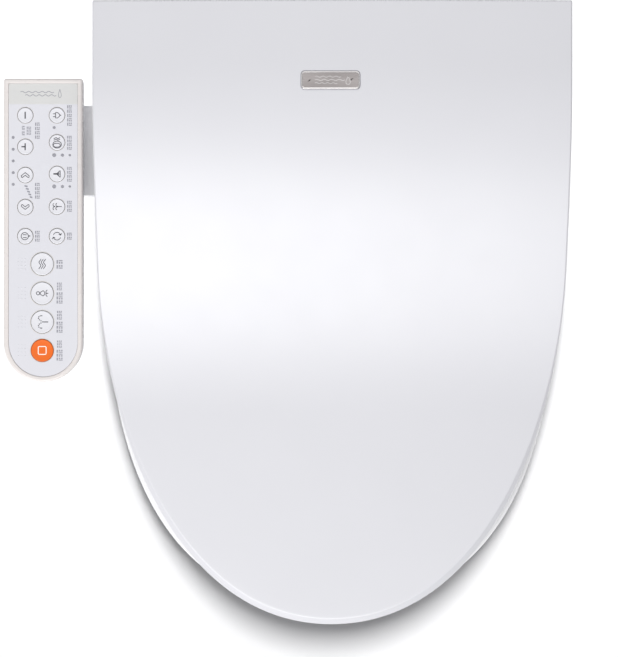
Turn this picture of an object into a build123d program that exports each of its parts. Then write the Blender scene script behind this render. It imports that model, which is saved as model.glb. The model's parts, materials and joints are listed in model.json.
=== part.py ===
from build123d import *

import math
import os

# Electric bidet seat. Millimetres. The origin is the midpoint between the two mounting slots, on
# the plane of the bowl's rim. Y points to the rear and Z points up. A seated user faces -Y and has
# the control panel, on -X, at the right hand.

# ---- driving dimensions: lid ----
LID_HALF_WIDTH = 194.0
LID_REAR_Y = 75.0
LID_FRONT_Y = -440.0
LID_NOSE_Y = -141.0          # the straight sides end and the nose curve starts
LID_FULLNESS = 0.44          # nose curve: how far the sides run on
LID_SHOULDER = 0.68          # nose curve: how square the front is
LID_WALL = 2.8
LID_TOP_Z = 145.0
LID_LEVEL_Y = 20.0           # the level rear part ends here
LID_FOOT_Y = -260.0          # the S-shaped slope ends here
LID_FOOT_Z = 72.0
LID_FRONT_Z = 62.0
SKIRT_FRONT_Z = 46.0
SKIRT_REAR_Z = 73.0
LIP_DEPTH = 4.0
LID_LEAD = 110.0             # length of the slope curve's handles
LID_POSTS = ((146.0, -205.0), (86.0, -392.0))
LID_POST_R = 5.0
LID_PAD_R = 6.5
BADGE = (-1.6, 9.8, 47.4, 14.6)

# ---- driving dimensions: seat ----
SEAT_HALF_WIDTH = 191.0
SEAT_REAR_Y = -62.0
SEAT_FRONT_Y = -430.0
SEAT_NOSE_Y = -150.0
SEAT_FULLNESS = 0.86
SEAT_SHOULDER = 0.40
SEAT_WALL = 2.6
SEAT_BOTTOM_Z = 18.0
SEAT_SPLIT_Z = 30.0
SEAT_TOP_Z = 45.0
HOLE_CENTRE_Y = -236.0
HOLE_HALF_LENGTH = 142.0
HOLE_HALF_WIDTH = 104.0
ARM_IN_X = 170.0
ARM_OUT_X = 182.0
NOTCH_HALF = 24.0            # groove in the ring's underside, over the nozzles
NOTCH_Y = -78.0
NOTCH_Z = 26.0
SEAT_PADS = ((156.0, -130.0), (88.0, -390.0))
SEAT_PAD_R = 9.0

# ---- driving dimensions: hinge line ----
AXIS_Y = 46.0
AXIS_Z = 118.0
PIN_R = 5.0
RUN_GAP = 0.3                # radial gap of every turning or sliding fit
KEY_GAP = 0.05               # radial gap of a pin in a part that it turns with
BOSS_R = 11.0
BOSS_IN_X = 184.5

# ---- driving dimensions: housing ----
BODY_HALF = 168.0
BODY_FRONT_Y = -60.0
BODY_REAR_Y = 58.0
BODY_WALL = 2.8
BODY_TOP_Z = 136.0
TRAY_BOTTOM_Z = 3.0
TRAY_FLOOR_Z = 6.0
TRAY_SPLIT_Z = 44.0
CHEEK_IN_X = 184.5
CHEEK_OUT_X = 188.0
CHEEK_TOP_Z = 70.0
RECESS_HALF = 104.0
RECESS_FRONT_Y = -32.0
RECESS_TOP_Z = 14.0
BUTTON_Y = 20.0              # release button in the cheek on +X
BUTTON_Z = 24.0
BUTTON_R = 6.6
SCREWS = ((-158.0, -50.0), (158.0, -50.0), (-158.0, 44.0), (158.0, 44.0), (-44.0, -48.0), (44.0, -48.0))
SCREW_POST_R = 4.5
SCREW_PILOT_R = 1.75

# ---- driving dimensions: bracket ----
SLOT_X = 74.0
SLOT_LENGTH = 26.0
SLOT_R = 4.5
PLATE_HALF = 98.0
PLATE_FRONT_Y = -28.0
PLATE_REAR_Y = 28.0
PLATE_T = 4.0

# ---- driving dimensions: nozzles ----
NOZZLE_TILT = 30.0
NOZZLE_MOUTH = (0.0, -60.0, 13.0)
NOZZLE_X = 9.5
NOZZLE_R = 5.5
NOZZLE_TIP_S = 2.0
NOZZLE_END_S = 117.0
RACK_START_S = 40.0
RACK_END_S = 112.0
PINION_S = 46.0
PINION_TEETH = 15
MODULE = 0.8
PITCH_R = MODULE * PINION_TEETH / 2
PINION_N = 7.5 + PITCH_R     # height of the pinion's axis above the nozzle's axis

# ---- driving dimensions: dryer ----
OUTLET_X0 = -121.0
OUTLET_X1 = -75.0
OUTLET_Z0 = 6.4
OUTLET_Z1 = 17.0
FLAP_PIVOT_Y = -59.0
FLAP_PIVOT_Z = 15.4
BLOWER_X = -120.0
BLOWER_Y = 10.0
BLOWER_R = 34.0
BLOWER_Z0 = 18.0
BLOWER_Z1 = 50.0
SPOUT_X0 = -122.0
SPOUT_X1 = -92.0
SPOUT_FRONT_Y = -40.0

# ---- driving dimensions: water ----
INLET_X = 120.0
INLET_Z = 28.0
INLET_R = 10.48              # G 1/2 male thread, major diameter 20.955
INLET_END_Y = 80.0
GLAND_X = -150.0
GLAND_Z = 28.0
GLAND_BORE_R = 4.2           # for the mains lead
TANK = (66.0, 150.0, -42.0, 4.0, 30.0, 100.0)
HEATER_X = 108.0
HEATER_Y = -19.0
HOSE_X0 = 80.0
HOSE_X1 = 97.0
HOSE_Z = 38.0
PORT_Z = 90.0
VALVE_X = 48.0
VALVE_Z = 64.0

# ---- driving dimensions: control panel ----
PANEL_X0 = -275.0
PANEL_X1 = -208.7
PANEL_REAR_Y = 19.4
PANEL_HALF = (PANEL_X1 - PANEL_X0) / 2
PANEL_CENTRE_X = (PANEL_X1 + PANEL_X0) / 2
PANEL_ROUND_Y = -201.9
PANEL_TOP_Z = 70.0
PANEL_FACE_Z = 69.4
PANEL_SPLIT_Z = 62.0
PANEL_BOTTOM_Z = 46.0
PANEL_WALL = 2.0
BEZEL_WIDTH = 4.2
BOARD_Z = 59.0
BOARD_T = 1.6
KEY_TOP_Z = 70.0
KEY_BOTTOM_Z = 65.5
KEY_TRAVEL = 0.8
KEY_FIT = 0.35
SMALL_KEY_R = 6.45
BIG_KEY_R = 9.4
SMALL_LEFT_X = -256.8
SMALL_RIGHT_X = -230.2
BIG_X = -242.6
KEYS = {
    "key_minus": (SMALL_LEFT_X, -11.5, SMALL_KEY_R),
    "key_plus": (SMALL_LEFT_X, -37.9, SMALL_KEY_R),
    "key_nozzle_back": (SMALL_LEFT_X, -61.6, SMALL_KEY_R),
    "key_nozzle_forward": (SMALL_LEFT_X, -88.5, SMALL_KEY_R),
    "key_child": (SMALL_LEFT_X, -112.9, SMALL_KEY_R),
    "key_energy": (SMALL_RIGHT_X, -11.5, SMALL_KEY_R),
    "key_seat_temp": (SMALL_RIGHT_X, -34.2, SMALL_KEY_R),
    "key_water_temp": (SMALL_RIGHT_X, -60.7, SMALL_KEY_R),
    "key_massage": (SMALL_RIGHT_X, -88.1, SMALL_KEY_R),
    "key_move": (SMALL_RIGHT_X, -112.9, SMALL_KEY_R),
    "key_dry": (BIG_X, -136.2, BIG_KEY_R),
    "key_bidet": (BIG_X, -160.8, BIG_KEY_R),
    "key_wash": (BIG_X, -184.8, BIG_KEY_R),
    "key_stop": (BIG_X, -208.7, BIG_KEY_R),
}
LED_COLUMN_X = -267.0
LED_COLUMN_Y = (-30.0, -40.0, -49.8, -59.6, -69.4)
LED_ROWS_Y = (-44.9, -71.2)
LED_ROW_X = ((-232.6, 1.5), (-225.7, 1.2), (-219.5, 0.9))
LED_POWER = (-232.6, -21.8)
LED_R = 1.1

CABLE_Y = -30.0
CABLE_Z = 30.0
CABLE_R = 2.5
ARM_HOLE_X = -236.0
BOARD_POSTS = ((-262.0, 6.0), (-221.0, 6.0), (-262.0, -125.0), (-221.0, -125.0), (BIG_X, -224.0))


# ---- shapes used by several pieces ----

def block(x0, x1, y0, y1, z0, z1):
    """A box between two corners."""
    box = Box(x1 - x0, y1 - y0, z1 - z0)
    return Pos((x0 + x1) / 2, (y0 + y1) / 2, (z0 + z1) / 2) * box


def rod_x(x0, x1, y, z, r):
    """A round bar along X."""
    return Pos((x0 + x1) / 2, y, z) * Rot(0, 90, 0) * Cylinder(r, abs(x1 - x0))


def rod_y(x, y0, y1, z, r):
    """A round bar along Y."""
    return Pos(x, (y0 + y1) / 2, z) * Rot(90, 0, 0) * Cylinder(r, y1 - y0)


def rod_z(x, y, z0, z1, r):
    """A round bar along Z."""
    return Pos(x, y, (z0 + z1) / 2) * Cylinder(r, z1 - z0)


def side_prism(edges, x0, x1):
    """A closed outline in the YZ plane, extruded along X."""
    face = Plane.YZ.offset(x0) * make_face(edges)
    return extrude(face, amount=x1 - x0, dir=(1, 0, 0))


def d_plan(half, rear, nose, front, fullness, shoulder):
    """A D-shaped plan outline: straight rear and sides, one curve each side round the nose."""
    run = nose - front
    curve = Bezier((half, nose), (half, nose - fullness * run), (shoulder * half, front), (0, front))
    right = Line((0, rear), (half, rear)) + Line((half, rear), (half, nose)) + curve
    return make_face(right + mirror(right, about=Plane.YZ))


def raised(sketch, z0, z1):
    """A plan outline extruded between two heights."""
    return extrude(Pos(0, 0, z0) * sketch, amount=z1 - z0, dir=(0, 0, 1))


def tube(points, radii, r):
    """A round tube along straight runs joined by arcs."""
    path = FilletPolyline(*points, radius=radii)
    start = Plane(origin=path @ 0, z_dir=path % 0)
    return sweep(start * Circle(r), path=path)


def both_sides(shape):
    """A shape and its mirror image across the middle plane."""
    return shape + mirror(shape, about=Plane.YZ)


# ---- lid ----

def lid_plan(inset):
    return d_plan(LID_HALF_WIDTH - inset, LID_REAR_Y - inset, LID_NOSE_Y, LID_FRONT_Y + inset,
                  LID_FULLNESS, LID_SHOULDER)


def under_lid_top(drop):
    """Everything below the lid's top surface, lowered by drop."""
    slope = (LID_FOOT_Z - LID_FRONT_Z) / (LID_FOOT_Y - LID_FRONT_Y)
    rear = LID_REAR_Y + 10
    front = LID_FRONT_Y - 10
    top = LID_TOP_Z - drop
    foot = LID_FOOT_Z - drop
    front_z = foot + slope * (front - LID_FOOT_Y)
    edges = Line((rear, -10), (rear, top)) + Line((rear, top), (LID_LEVEL_Y, top))
    edges += Bezier((LID_LEVEL_Y, top), (LID_LEVEL_Y - LID_LEAD, top),
                    (LID_FOOT_Y + LID_LEAD, foot + slope * LID_LEAD), (LID_FOOT_Y, foot))
    edges += Line((LID_FOOT_Y, foot), (front, front_z)) + Line((front, front_z), (front, -10))
    edges += Line((front, -10), (rear, -10))
    return side_prism(edges, -LID_HALF_WIDTH - 10, LID_HALF_WIDTH + 10)


def lid_shell():
    outer = raised(lid_plan(0), 0, LID_TOP_Z + 5) & under_lid_top(0)
    inner = raised(lid_plan(LID_WALL), -5, LID_TOP_Z + 5) & under_lid_top(LID_WALL)
    shell = outer - inner
    far = LID_HALF_WIDTH + 6
    below = Polyline((LID_FRONT_Y - 6, -6), (LID_FRONT_Y - 6, SKIRT_FRONT_Z), (-76, SKIRT_FRONT_Z),
                     (-56, SKIRT_REAR_Z), (LID_REAR_Y + 6, SKIRT_REAR_Z), (LID_REAR_Y + 6, -6),
                     close=True)
    shell -= side_prism(below, -far, far)
    inside = LID_HALF_WIDTH - LID_WALL
    shell -= block(-inside, inside, LID_REAR_Y - LID_WALL - 1, LID_REAR_Y + 1, 0,
                   LID_TOP_Z - LID_WALL - LIP_DEPTH)
    posts = [rod_z(x, y, SKIRT_FRONT_Z + 3, LID_TOP_Z, LID_POST_R) for x, y in LID_POSTS]
    for post in posts:
        shell += both_sides(post & under_lid_top(LID_WALL / 2))
    boss = rod_x(BOSS_IN_X, inside + 1, AXIS_Y, AXIS_Z, BOSS_R)
    shell += both_sides(boss)
    shell -= rod_x(-190.3, -BOSS_IN_X + 1, AXIS_Y, AXIS_Z, PIN_R + RUN_GAP)
    shell -= rod_x(BOSS_IN_X - 1, 190.3, AXIS_Y, AXIS_Z, PIN_R + KEY_GAP)
    x, y, length, width = BADGE
    recess = Pos(x, y, LID_TOP_Z - 0.5) * extrude(RectangleRounded(length + 1, width + 1, 3.4), 5)
    return shell - recess


def lid_badge():
    x, y, length, width = BADGE
    plate = extrude(RectangleRounded(length, width, 3), 0.8)
    return Pos(x, y, LID_TOP_Z - 0.5) * chamfer(plate.edges().group_by(Axis.Z)[-1], 0.4)


def lid_bumpers():
    pads = []
    for x, y in LID_POSTS:
        pads += both_sides(rod_z(x, y, SEAT_TOP_Z + RUN_GAP, SKIRT_FRONT_Z + 3, LID_PAD_R)).solids()
    return Compound(children=pads)


# ---- seat ----

def seat_plan(inset):
    outer = d_plan(SEAT_HALF_WIDTH - inset, SEAT_REAR_Y - inset, SEAT_NOSE_Y, SEAT_FRONT_Y + inset,
                   SEAT_FULLNESS, SEAT_SHOULDER)
    hole = Ellipse(HOLE_HALF_WIDTH + inset, HOLE_HALF_LENGTH + inset)
    return outer - Pos(0, HOLE_CENTRE_Y) * hole


def seat_upper_shell():
    ring = raised(seat_plan(0), SEAT_SPLIT_Z, SEAT_TOP_Z)
    ring = fillet(ring.edges().group_by(Axis.Z)[-1], 6)
    hollow = raised(seat_plan(SEAT_WALL), SEAT_SPLIT_Z - 1, SEAT_TOP_Z - SEAT_WALL)
    hollow = fillet(hollow.edges().group_by(Axis.Z)[-1], 4)
    return ring - hollow


def seat_arm():
    """The long side arm from the ring's rear edge up to the hinge line, on +X."""
    start = SEAT_REAR_Y + 0.3
    outline = Polyline((-100, SEAT_BOTTOM_Z + 1), (start, SEAT_BOTTOM_Z + 1), (AXIS_Y + 7, AXIS_Z - 8.5),
                       (AXIS_Y - 7, AXIS_Z + 8.5), (start, 62), (start, SEAT_SPLIT_Z - 0.3),
                       (-100, SEAT_SPLIT_Z - 0.3), close=True)
    arm = side_prism(outline, ARM_IN_X, ARM_OUT_X)
    return arm + rod_x(ARM_IN_X, ARM_OUT_X, AXIS_Y, AXIS_Z, BOSS_R)


def seat_lower_shell():
    top = SEAT_SPLIT_Z - 0.1
    ring = raised(seat_plan(0), SEAT_BOTTOM_Z, top)
    ring -= raised(seat_plan(SEAT_WALL), SEAT_BOTTOM_Z + SEAT_WALL, top + 1)
    cap = block(-NOTCH_HALF - 2, NOTCH_HALF + 2, NOTCH_Y - 2, SEAT_REAR_Y, SEAT_BOTTOM_Z, NOTCH_Z + 2)
    ring += cap
    ring -= block(-NOTCH_HALF, NOTCH_HALF, NOTCH_Y, SEAT_REAR_Y + 1, SEAT_BOTTOM_Z - 1, NOTCH_Z)
    shell = ring + both_sides(seat_arm())
    shell -= rod_x(-ARM_OUT_X - 1, -ARM_IN_X + 1, AXIS_Y, AXIS_Z, PIN_R + KEY_GAP)
    return shell - rod_x(ARM_IN_X - 1, ARM_OUT_X + 1, AXIS_Y, AXIS_Z, PIN_R + RUN_GAP)


def seat_heater():
    """The heating foil under the ring's top wall."""
    top = SEAT_TOP_Z - SEAT_WALL - 0.1
    return raised(seat_plan(9), top - 0.8, top)


def seat_bumpers():
    pads = []
    for x, y in SEAT_PADS:
        pads += both_sides(rod_z(x, y, 0, SEAT_BOTTOM_Z, SEAT_PAD_R)).solids()
    return Compound(children=pads)


# ---- hinge line ----

def seat_hinge_pin():
    return rod_x(-190, -136, AXIS_Y, AXIS_Z, PIN_R)


def lid_hinge_pin():
    return rod_x(136, 190, AXIS_Y, AXIS_Z, PIN_R)


def damper(side):
    """A rotary damper, its bore open to the outside; side is -1 or 1."""
    ends = sorted((side * 128, side * 164.5))
    bore = sorted((side * 134, side * 166))
    body = rod_x(*ends, AXIS_Y, AXIS_Z, 8.6)
    flange = sorted((side * 128, side * 131))
    body += block(*flange, AXIS_Y - 16, AXIS_Y + 8, AXIS_Z - 8, AXIS_Z + 8)
    return body - rod_x(*bore, AXIS_Y, AXIS_Z, PIN_R + RUN_GAP)


# ---- housing ----

def base_tray():
    wall = BODY_WALL
    tray = block(-BODY_HALF, BODY_HALF, BODY_FRONT_Y, BODY_REAR_Y, TRAY_BOTTOM_Z, TRAY_SPLIT_Z)
    tray -= block(-BODY_HALF + wall, BODY_HALF - wall, BODY_FRONT_Y + wall, BODY_REAR_Y - wall,
                  TRAY_FLOOR_Z, TRAY_SPLIT_Z + 1)
    side = block(BODY_HALF - 1, CHEEK_OUT_X, BODY_FRONT_Y, BODY_REAR_Y, TRAY_BOTTOM_Z, TRAY_FLOOR_Z)
    cheek = Polyline((BODY_FRONT_Y, TRAY_BOTTOM_Z), (BODY_FRONT_Y, 40), (BODY_FRONT_Y + 12, CHEEK_TOP_Z),
                     (BODY_REAR_Y, CHEEK_TOP_Z), (BODY_REAR_Y, TRAY_BOTTOM_Z), close=True)
    side += side_prism(cheek, CHEEK_IN_X, CHEEK_OUT_X)
    side += block(BODY_HALF - 1, CHEEK_OUT_X, BODY_REAR_Y - 3, BODY_REAR_Y, TRAY_BOTTOM_Z, TRAY_SPLIT_Z)
    side += block(BODY_HALF + 0.2, CHEEK_OUT_X, BODY_REAR_Y - 3, BODY_REAR_Y, TRAY_SPLIT_Z, CHEEK_TOP_Z)
    tray += both_sides(side)
    roof = block(-RECESS_HALF - 3, RECESS_HALF + 3, RECESS_FRONT_Y - 3, BODY_REAR_Y,
                 TRAY_BOTTOM_Z, RECESS_TOP_Z + 3)
    tray += roof
    tray -= block(-RECESS_HALF, RECESS_HALF, RECESS_FRONT_Y, BODY_REAR_Y + 1, 0, RECESS_TOP_Z)
    rail = block(PLATE_HALF - 8, RECESS_HALF + 1, PLATE_FRONT_Y, BODY_REAR_Y, 0.8, 3.2)
    tray += both_sides(rail)
    tray -= block(OUTLET_X0, OUTLET_X1, BODY_FRONT_Y - 1, BODY_FRONT_Y + wall + 1, OUTLET_Z0, OUTLET_Z1)
    tray -= rod_x(OUTLET_X0 - 3, OUTLET_X1 + 3, FLAP_PIVOT_Y, FLAP_PIVOT_Z, 0.7 + RUN_GAP)
    tray -= block(-21, 21, BODY_FRONT_Y - 1, BODY_FRONT_Y + wall + 1, TRAY_FLOOR_Z, 26)
    tray -= rod_y(INLET_X, BODY_REAR_Y - 5, BODY_REAR_Y + 2, INLET_Z, INLET_R + 0.4)
    tray -= rod_y(GLAND_X, BODY_REAR_Y - 5, BODY_REAR_Y + 2, GLAND_Z, 8.2)
    tray -= rod_x(-CHEEK_OUT_X - 1, -BODY_HALF + wall + 1, CABLE_Y, CABLE_Z, CABLE_R + 1)
    tray -= rod_x(CHEEK_IN_X - 1, CHEEK_OUT_X + 1, BUTTON_Y, BUTTON_Z, BUTTON_R + 0.4)
    posts = [rod_z(x, y, TRAY_FLOOR_Z - 1, TRAY_SPLIT_Z, SCREW_POST_R) for x, y in SCREWS]
    for post in posts:
        tray += post
    for x, y in SCREWS:
        tray -= rod_z(x, y, 0, TRAY_SPLIT_Z + 1, SCREW_PILOT_R)
        tray -= rod_z(x, y, 0, TRAY_FLOOR_Z + 0.5, 3.6)
    return tray


def rear_cover():
    """The upper half of the housing, open below, its top following the lid's underside."""
    def profile(inset):
        front = BODY_FRONT_Y + inset
        rear = BODY_REAR_Y - inset
        top = BODY_TOP_Z - inset
        edges = Line((rear, TRAY_SPLIT_Z - inset), (rear, top - 8))
        edges += Line((rear, top - 8), (rear - 8, top)) + Line((rear - 8, top), (10, top))
        edges += Bezier((10, top), (-30, top), (front, 122 - inset), (front, 96))
        edges += Line((front, 96), (front, TRAY_SPLIT_Z - inset))
        edges += Line((front, TRAY_SPLIT_Z - inset), (rear, TRAY_SPLIT_Z - inset))
        return edges
    body = side_prism(profile(0), -BODY_HALF, BODY_HALF)
    inside = BODY_HALF - BODY_WALL
    cover = body - side_prism(profile(BODY_WALL), -inside, inside)
    cover -= block(-inside, inside, BODY_FRONT_Y + BODY_WALL, BODY_REAR_Y - BODY_WALL,
                   TRAY_SPLIT_Z - 1, TRAY_SPLIT_Z + 1)
    cover -= rod_x(-BODY_HALF - 1, BODY_HALF + 1, AXIS_Y, AXIS_Z, PIN_R + 0.4)
    boss_top = TRAY_SPLIT_Z + 14
    for x, y in SCREWS:
        near_side = sorted((x, math.copysign(BODY_HALF - 1, x)))
        web = block(*near_side, y - 1.5, y + 1.5, TRAY_SPLIT_Z, boss_top)
        if abs(x) < RECESS_HALF:
            web = block(x - 1.5, x + 1.5, BODY_FRONT_Y + 1, y, TRAY_SPLIT_Z, boss_top)
        cover += rod_z(x, y, TRAY_SPLIT_Z, boss_top, SCREW_POST_R) + web
        cover -= rod_z(x, y, TRAY_SPLIT_Z - 1, boss_top - 3, SCREW_PILOT_R)
    return cover


def base_pads():
    pads = []
    for x, y in ((150, -48), (150, 46)):
        pads += both_sides(block(x - 14, x + 4, y - 7, y + 7, 0, TRAY_BOTTOM_Z)).solids()
    return Compound(children=pads)


def case_screws():
    """Pan-head screws that hold the tray to the cover."""
    screws = []
    for x, y in SCREWS:
        screw = rod_z(x, y, TRAY_FLOOR_Z + 0.5, TRAY_SPLIT_Z + 10, 1.7)
        screw += rod_z(x, y, TRAY_FLOOR_Z - 1.7, TRAY_FLOOR_Z + 0.5, 3.2)
        screws.append(screw)
    return Compound(children=[s for screw in screws for s in screw.solids()])


# ---- bracket ----

def mounting_bracket():
    plate = block(-PLATE_HALF + 10, PLATE_HALF - 10, PLATE_FRONT_Y, PLATE_REAR_Y, 0, PLATE_T)
    wing = block(PLATE_HALF - 10.5, PLATE_HALF, PLATE_FRONT_Y, PLATE_REAR_Y, PLATE_T, PLATE_T + 2.6)
    wing += block(PLATE_HALF - 12, PLATE_HALF - 10, PLATE_FRONT_Y, PLATE_REAR_Y, 0, PLATE_T + 2.6)
    plate += both_sides(wing)
    slot = Pos(SLOT_X, 0, -1) * extrude(SlotOverall(SLOT_LENGTH, 2 * SLOT_R), PLATE_T + 5)
    plate -= both_sides(slot)
    window = Pos(0, 0, -1) * extrude(RectangleRounded(70, 24, 5), PLATE_T + 5)
    return plate - window


def release_button():
    """The button in the right cheek that frees the seat from its bracket."""
    button = rod_x(CHEEK_IN_X - 12, CHEEK_OUT_X + 3.5, BUTTON_Y, BUTTON_Z, BUTTON_R)
    return button + rod_x(CHEEK_IN_X - 12, CHEEK_IN_X - 9, BUTTON_Y, BUTTON_Z, BUTTON_R + 1.9)


# ---- water path ----

def inlet_connector():
    stub = rod_y(INLET_X, BODY_REAR_Y + 1, INLET_END_Y, INLET_Z, INLET_R)
    collar = rod_y(INLET_X, BODY_REAR_Y + 0.1, BODY_REAR_Y + 4, INLET_Z, 15)
    neck = rod_y(INLET_X, BODY_REAR_Y - 12, BODY_REAR_Y + 2, INLET_Z, 10)
    return stub + collar + neck - rod_y(INLET_X, BODY_REAR_Y - 13, INLET_END_Y + 1, INLET_Z, 6)


def inlet_valve():
    back = BODY_REAR_Y - 12.1
    body = block(INLET_X - 15, INLET_X + 15, 16, back, INLET_Z - 9, INLET_Z + 16)
    body += rod_z(INLET_X, 31, INLET_Z + 13, 72, 11)
    body += rod_x(HOSE_X1, INLET_X - 14, 31, HOSE_Z, 4)
    body -= rod_y(INLET_X, 24, back + 1, INLET_Z, 5)
    return body - rod_x(HOSE_X1 - 1, INLET_X, 31, HOSE_Z, 2.5)


def water_tank():
    x0, x1, y0, y1, z0, z1 = TANK
    tank = fillet(block(x0, x1, y0, y1, z0, z1).edges().filter_by(Axis.Z), 10)
    hollow = block(x0 + 3, x1 - 3, y0 + 3, y1 - 3, z0 + 3, z1 - 3)
    tank -= fillet(hollow.edges().filter_by(Axis.Z), 7)
    tank += rod_y(HOSE_X0, y1 - 2, y1 + 6, HOSE_Z, 4)
    tank += rod_x(x0 - 6, x0 + 2, HEATER_Y, PORT_Z, 3.4)
    tank -= rod_y(HOSE_X0, y1 - 5, y1 + 7, HOSE_Z, 2.5)
    tank -= rod_x(x0 - 7, x0 + 5, HEATER_Y, PORT_Z, 2.2)
    return tank - rod_z(HEATER_X, HEATER_Y, z1 - 5, z1 + 1, 12.2)


def tank_heater():
    """A U-shaped element on a round flange in the tank's top."""
    top = TANK[5]
    left = HEATER_X - 7
    right = HEATER_X + 7
    bottom = TANK[4] + 14
    element = tube([(left, HEATER_Y, top - 3), (left, HEATER_Y, bottom), (right, HEATER_Y, bottom),
                    (right, HEATER_Y, top - 3)], 6, 3)
    plug = rod_z(HEATER_X, HEATER_Y, top - 3.4, top + 1, 12)
    flange = rod_z(HEATER_X, HEATER_Y, top + 0.05, top + 3, 15)
    return element + plug + flange + rod_z(HEATER_X, HEATER_Y, top + 2, top + 9, 6)


def selector_valve():
    """The rotary valve that sends water to one nozzle or the other, with its motor."""
    body = rod_y(VALVE_X, -40, -4, VALVE_Z, 9) + rod_y(VALVE_X, -5, 14, VALVE_Z, 11)
    body += rod_z(VALVE_X, HEATER_Y, VALVE_Z + 8, VALVE_Z + 14, 3.2)
    for y in (-34, -10):
        body += rod_z(VALVE_X - 4, y, VALVE_Z - 16, VALVE_Z - 6, 2.6)
    return body


def inlet_hose():
    """From the inlet valve's spout to the tank's lower port."""
    return tube([(HOSE_X1 - 0.1, 31, HOSE_Z), (HOSE_X0, 31, HOSE_Z), (HOSE_X0, TANK[3] + 6.1, HOSE_Z)],
                10, 4)


def tank_hose():
    """From the tank's upper port down to the selector valve."""
    return tube([(TANK[0] - 6.1, HEATER_Y, PORT_Z), (VALVE_X, HEATER_Y, PORT_Z),
                 (VALVE_X, HEATER_Y, VALVE_Z + 14.1)], 8, 3.4)


# ---- nozzles, in a frame that lies along them: x across, s up and back, n square to both ----

def on_nozzle_line(shape):
    tilt = math.radians(NOZZLE_TILT)
    frame = Plane(origin=NOZZLE_MOUTH, x_dir=(1, 0, 0), z_dir=(0, -math.sin(tilt), math.cos(tilt)))
    return frame.location * shape


def nozzle_guide():
    """One cradle with two channels; each channel is open above for the rack."""
    cradle = block(-20, 20, 5, 100, -8, 4)
    for x in (-NOZZLE_X, NOZZLE_X):
        cradle -= rod_y(x, 4, 101, 0, NOZZLE_R + RUN_GAP)
    cradle = on_nozzle_line(cradle)
    for side in (-1, 1):
        cradle += block(*sorted((side * 16.5, side * 20)), -20, -12, RECESS_TOP_Z + 3, 30)
    return cradle


def nozzle(x):
    """A nozzle tube with its rack on top and its spray holes near the tip."""
    tube_body = rod_y(x, NOZZLE_TIP_S, NOZZLE_END_S, 0, NOZZLE_R)
    tube_body -= block(x - 6, x + 6, NOZZLE_TIP_S - 1, 16, 4.4, 7)
    for step in range(3):
        tube_body -= rod_z(x, 6 + 3 * step, 1, 6, 0.6)
    pitch = math.pi * MODULE
    tube_body += block(x - 2, x + 2, RACK_START_S, RACK_END_S, 3.5, 6.5)
    first = PINION_S - pitch * (math.floor((PINION_S - RACK_START_S) / pitch) - 0.5)
    count = int((RACK_END_S - first) / pitch)
    tooth = Polyline((-0.72, 6.4), (0.72, 6.4), (0.32, 8.0), (-0.32, 8.0), close=True)
    tooth = side_prism(tooth, x - 2, x + 2)
    for index in range(count):
        tube_body += Pos(0, first + index * pitch, 0) * tooth
    tube_body -= rod_y(x, 12, NOZZLE_END_S + 1, 0, 2)
    return on_nozzle_line(tube_body)


def pinion(side):
    """The gear that drives one nozzle's rack, with its shaft; side is -1 or 1."""
    x = side * NOZZLE_X
    gear = rod_x(x - 2.5, x + 2.5, 0, 0, PITCH_R - 0.8)
    tooth = Polyline((-0.75, -PITCH_R + 0.9), (0.75, -PITCH_R + 0.9), (0.3, -PITCH_R - 0.6),
                     (-0.3, -PITCH_R - 0.6), close=True)
    tooth = side_prism(tooth, x - 2.5, x + 2.5)
    for index in range(PINION_TEETH):
        gear += Rot(360 / PINION_TEETH * index, 0, 0) * tooth
    gear += rod_x(*sorted((x, side * 34)), 0, 0, 1.5)
    return on_nozzle_line(Pos(0, PINION_S, PINION_N) * gear)


def nozzle_motor(side):
    body = rod_x(*sorted((side * 21, side * 40)), 0, 0, 10)
    body += block(*sorted((side * 21, side * 23)), -16, 16, -4, 4)
    body -= rod_x(*sorted((side * 20, side * 36)), 0, 0, 1.5 + RUN_GAP)
    return on_nozzle_line(Pos(0, PINION_S, PINION_N) * body)


# ---- dryer ----

def blower_housing():
    scroll = rod_z(BLOWER_X, BLOWER_Y, BLOWER_Z0, BLOWER_Z1, BLOWER_R)
    scroll += block(SPOUT_X0, SPOUT_X1, SPOUT_FRONT_Y, BLOWER_Y, BLOWER_Z0, BLOWER_Z1)
    scroll -= rod_z(BLOWER_X, BLOWER_Y, BLOWER_Z0 + 2.5, BLOWER_Z1 - 2.5, BLOWER_R - 2.5)
    scroll -= block(SPOUT_X0 + 2.5, SPOUT_X1 - 2.5, SPOUT_FRONT_Y - 1, BLOWER_Y,
                    BLOWER_Z0 + 2.5, BLOWER_Z1 - 2.5)
    scroll -= rod_z(BLOWER_X, BLOWER_Y, BLOWER_Z1 - 4, BLOWER_Z1 + 1, 5)
    return scroll - rod_z(BLOWER_X, BLOWER_Y, BLOWER_Z0 - 1, BLOWER_Z0 + 4, 16)


def blower_wheel():
    """A drum of straight blades on a disc, with its shaft."""
    low = BLOWER_Z0 + 5
    high = BLOWER_Z1 - 6
    wheel = rod_z(BLOWER_X, BLOWER_Y, high - 1.5, high, 26)
    rim = rod_z(BLOWER_X, BLOWER_Y, low, low + 1.5, 26) - rod_z(BLOWER_X, BLOWER_Y, low - 1, low + 3, 22)
    wheel += rim
    blade = block(22.2, 25.8, -0.5, 0.5, low, high)
    for index in range(24):
        wheel += Pos(BLOWER_X, BLOWER_Y, 0) * Rot(0, 0, 15 * index) * blade
    return wheel + rod_z(BLOWER_X, BLOWER_Y, high - 6, BLOWER_Z1 + 14, 2)


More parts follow.
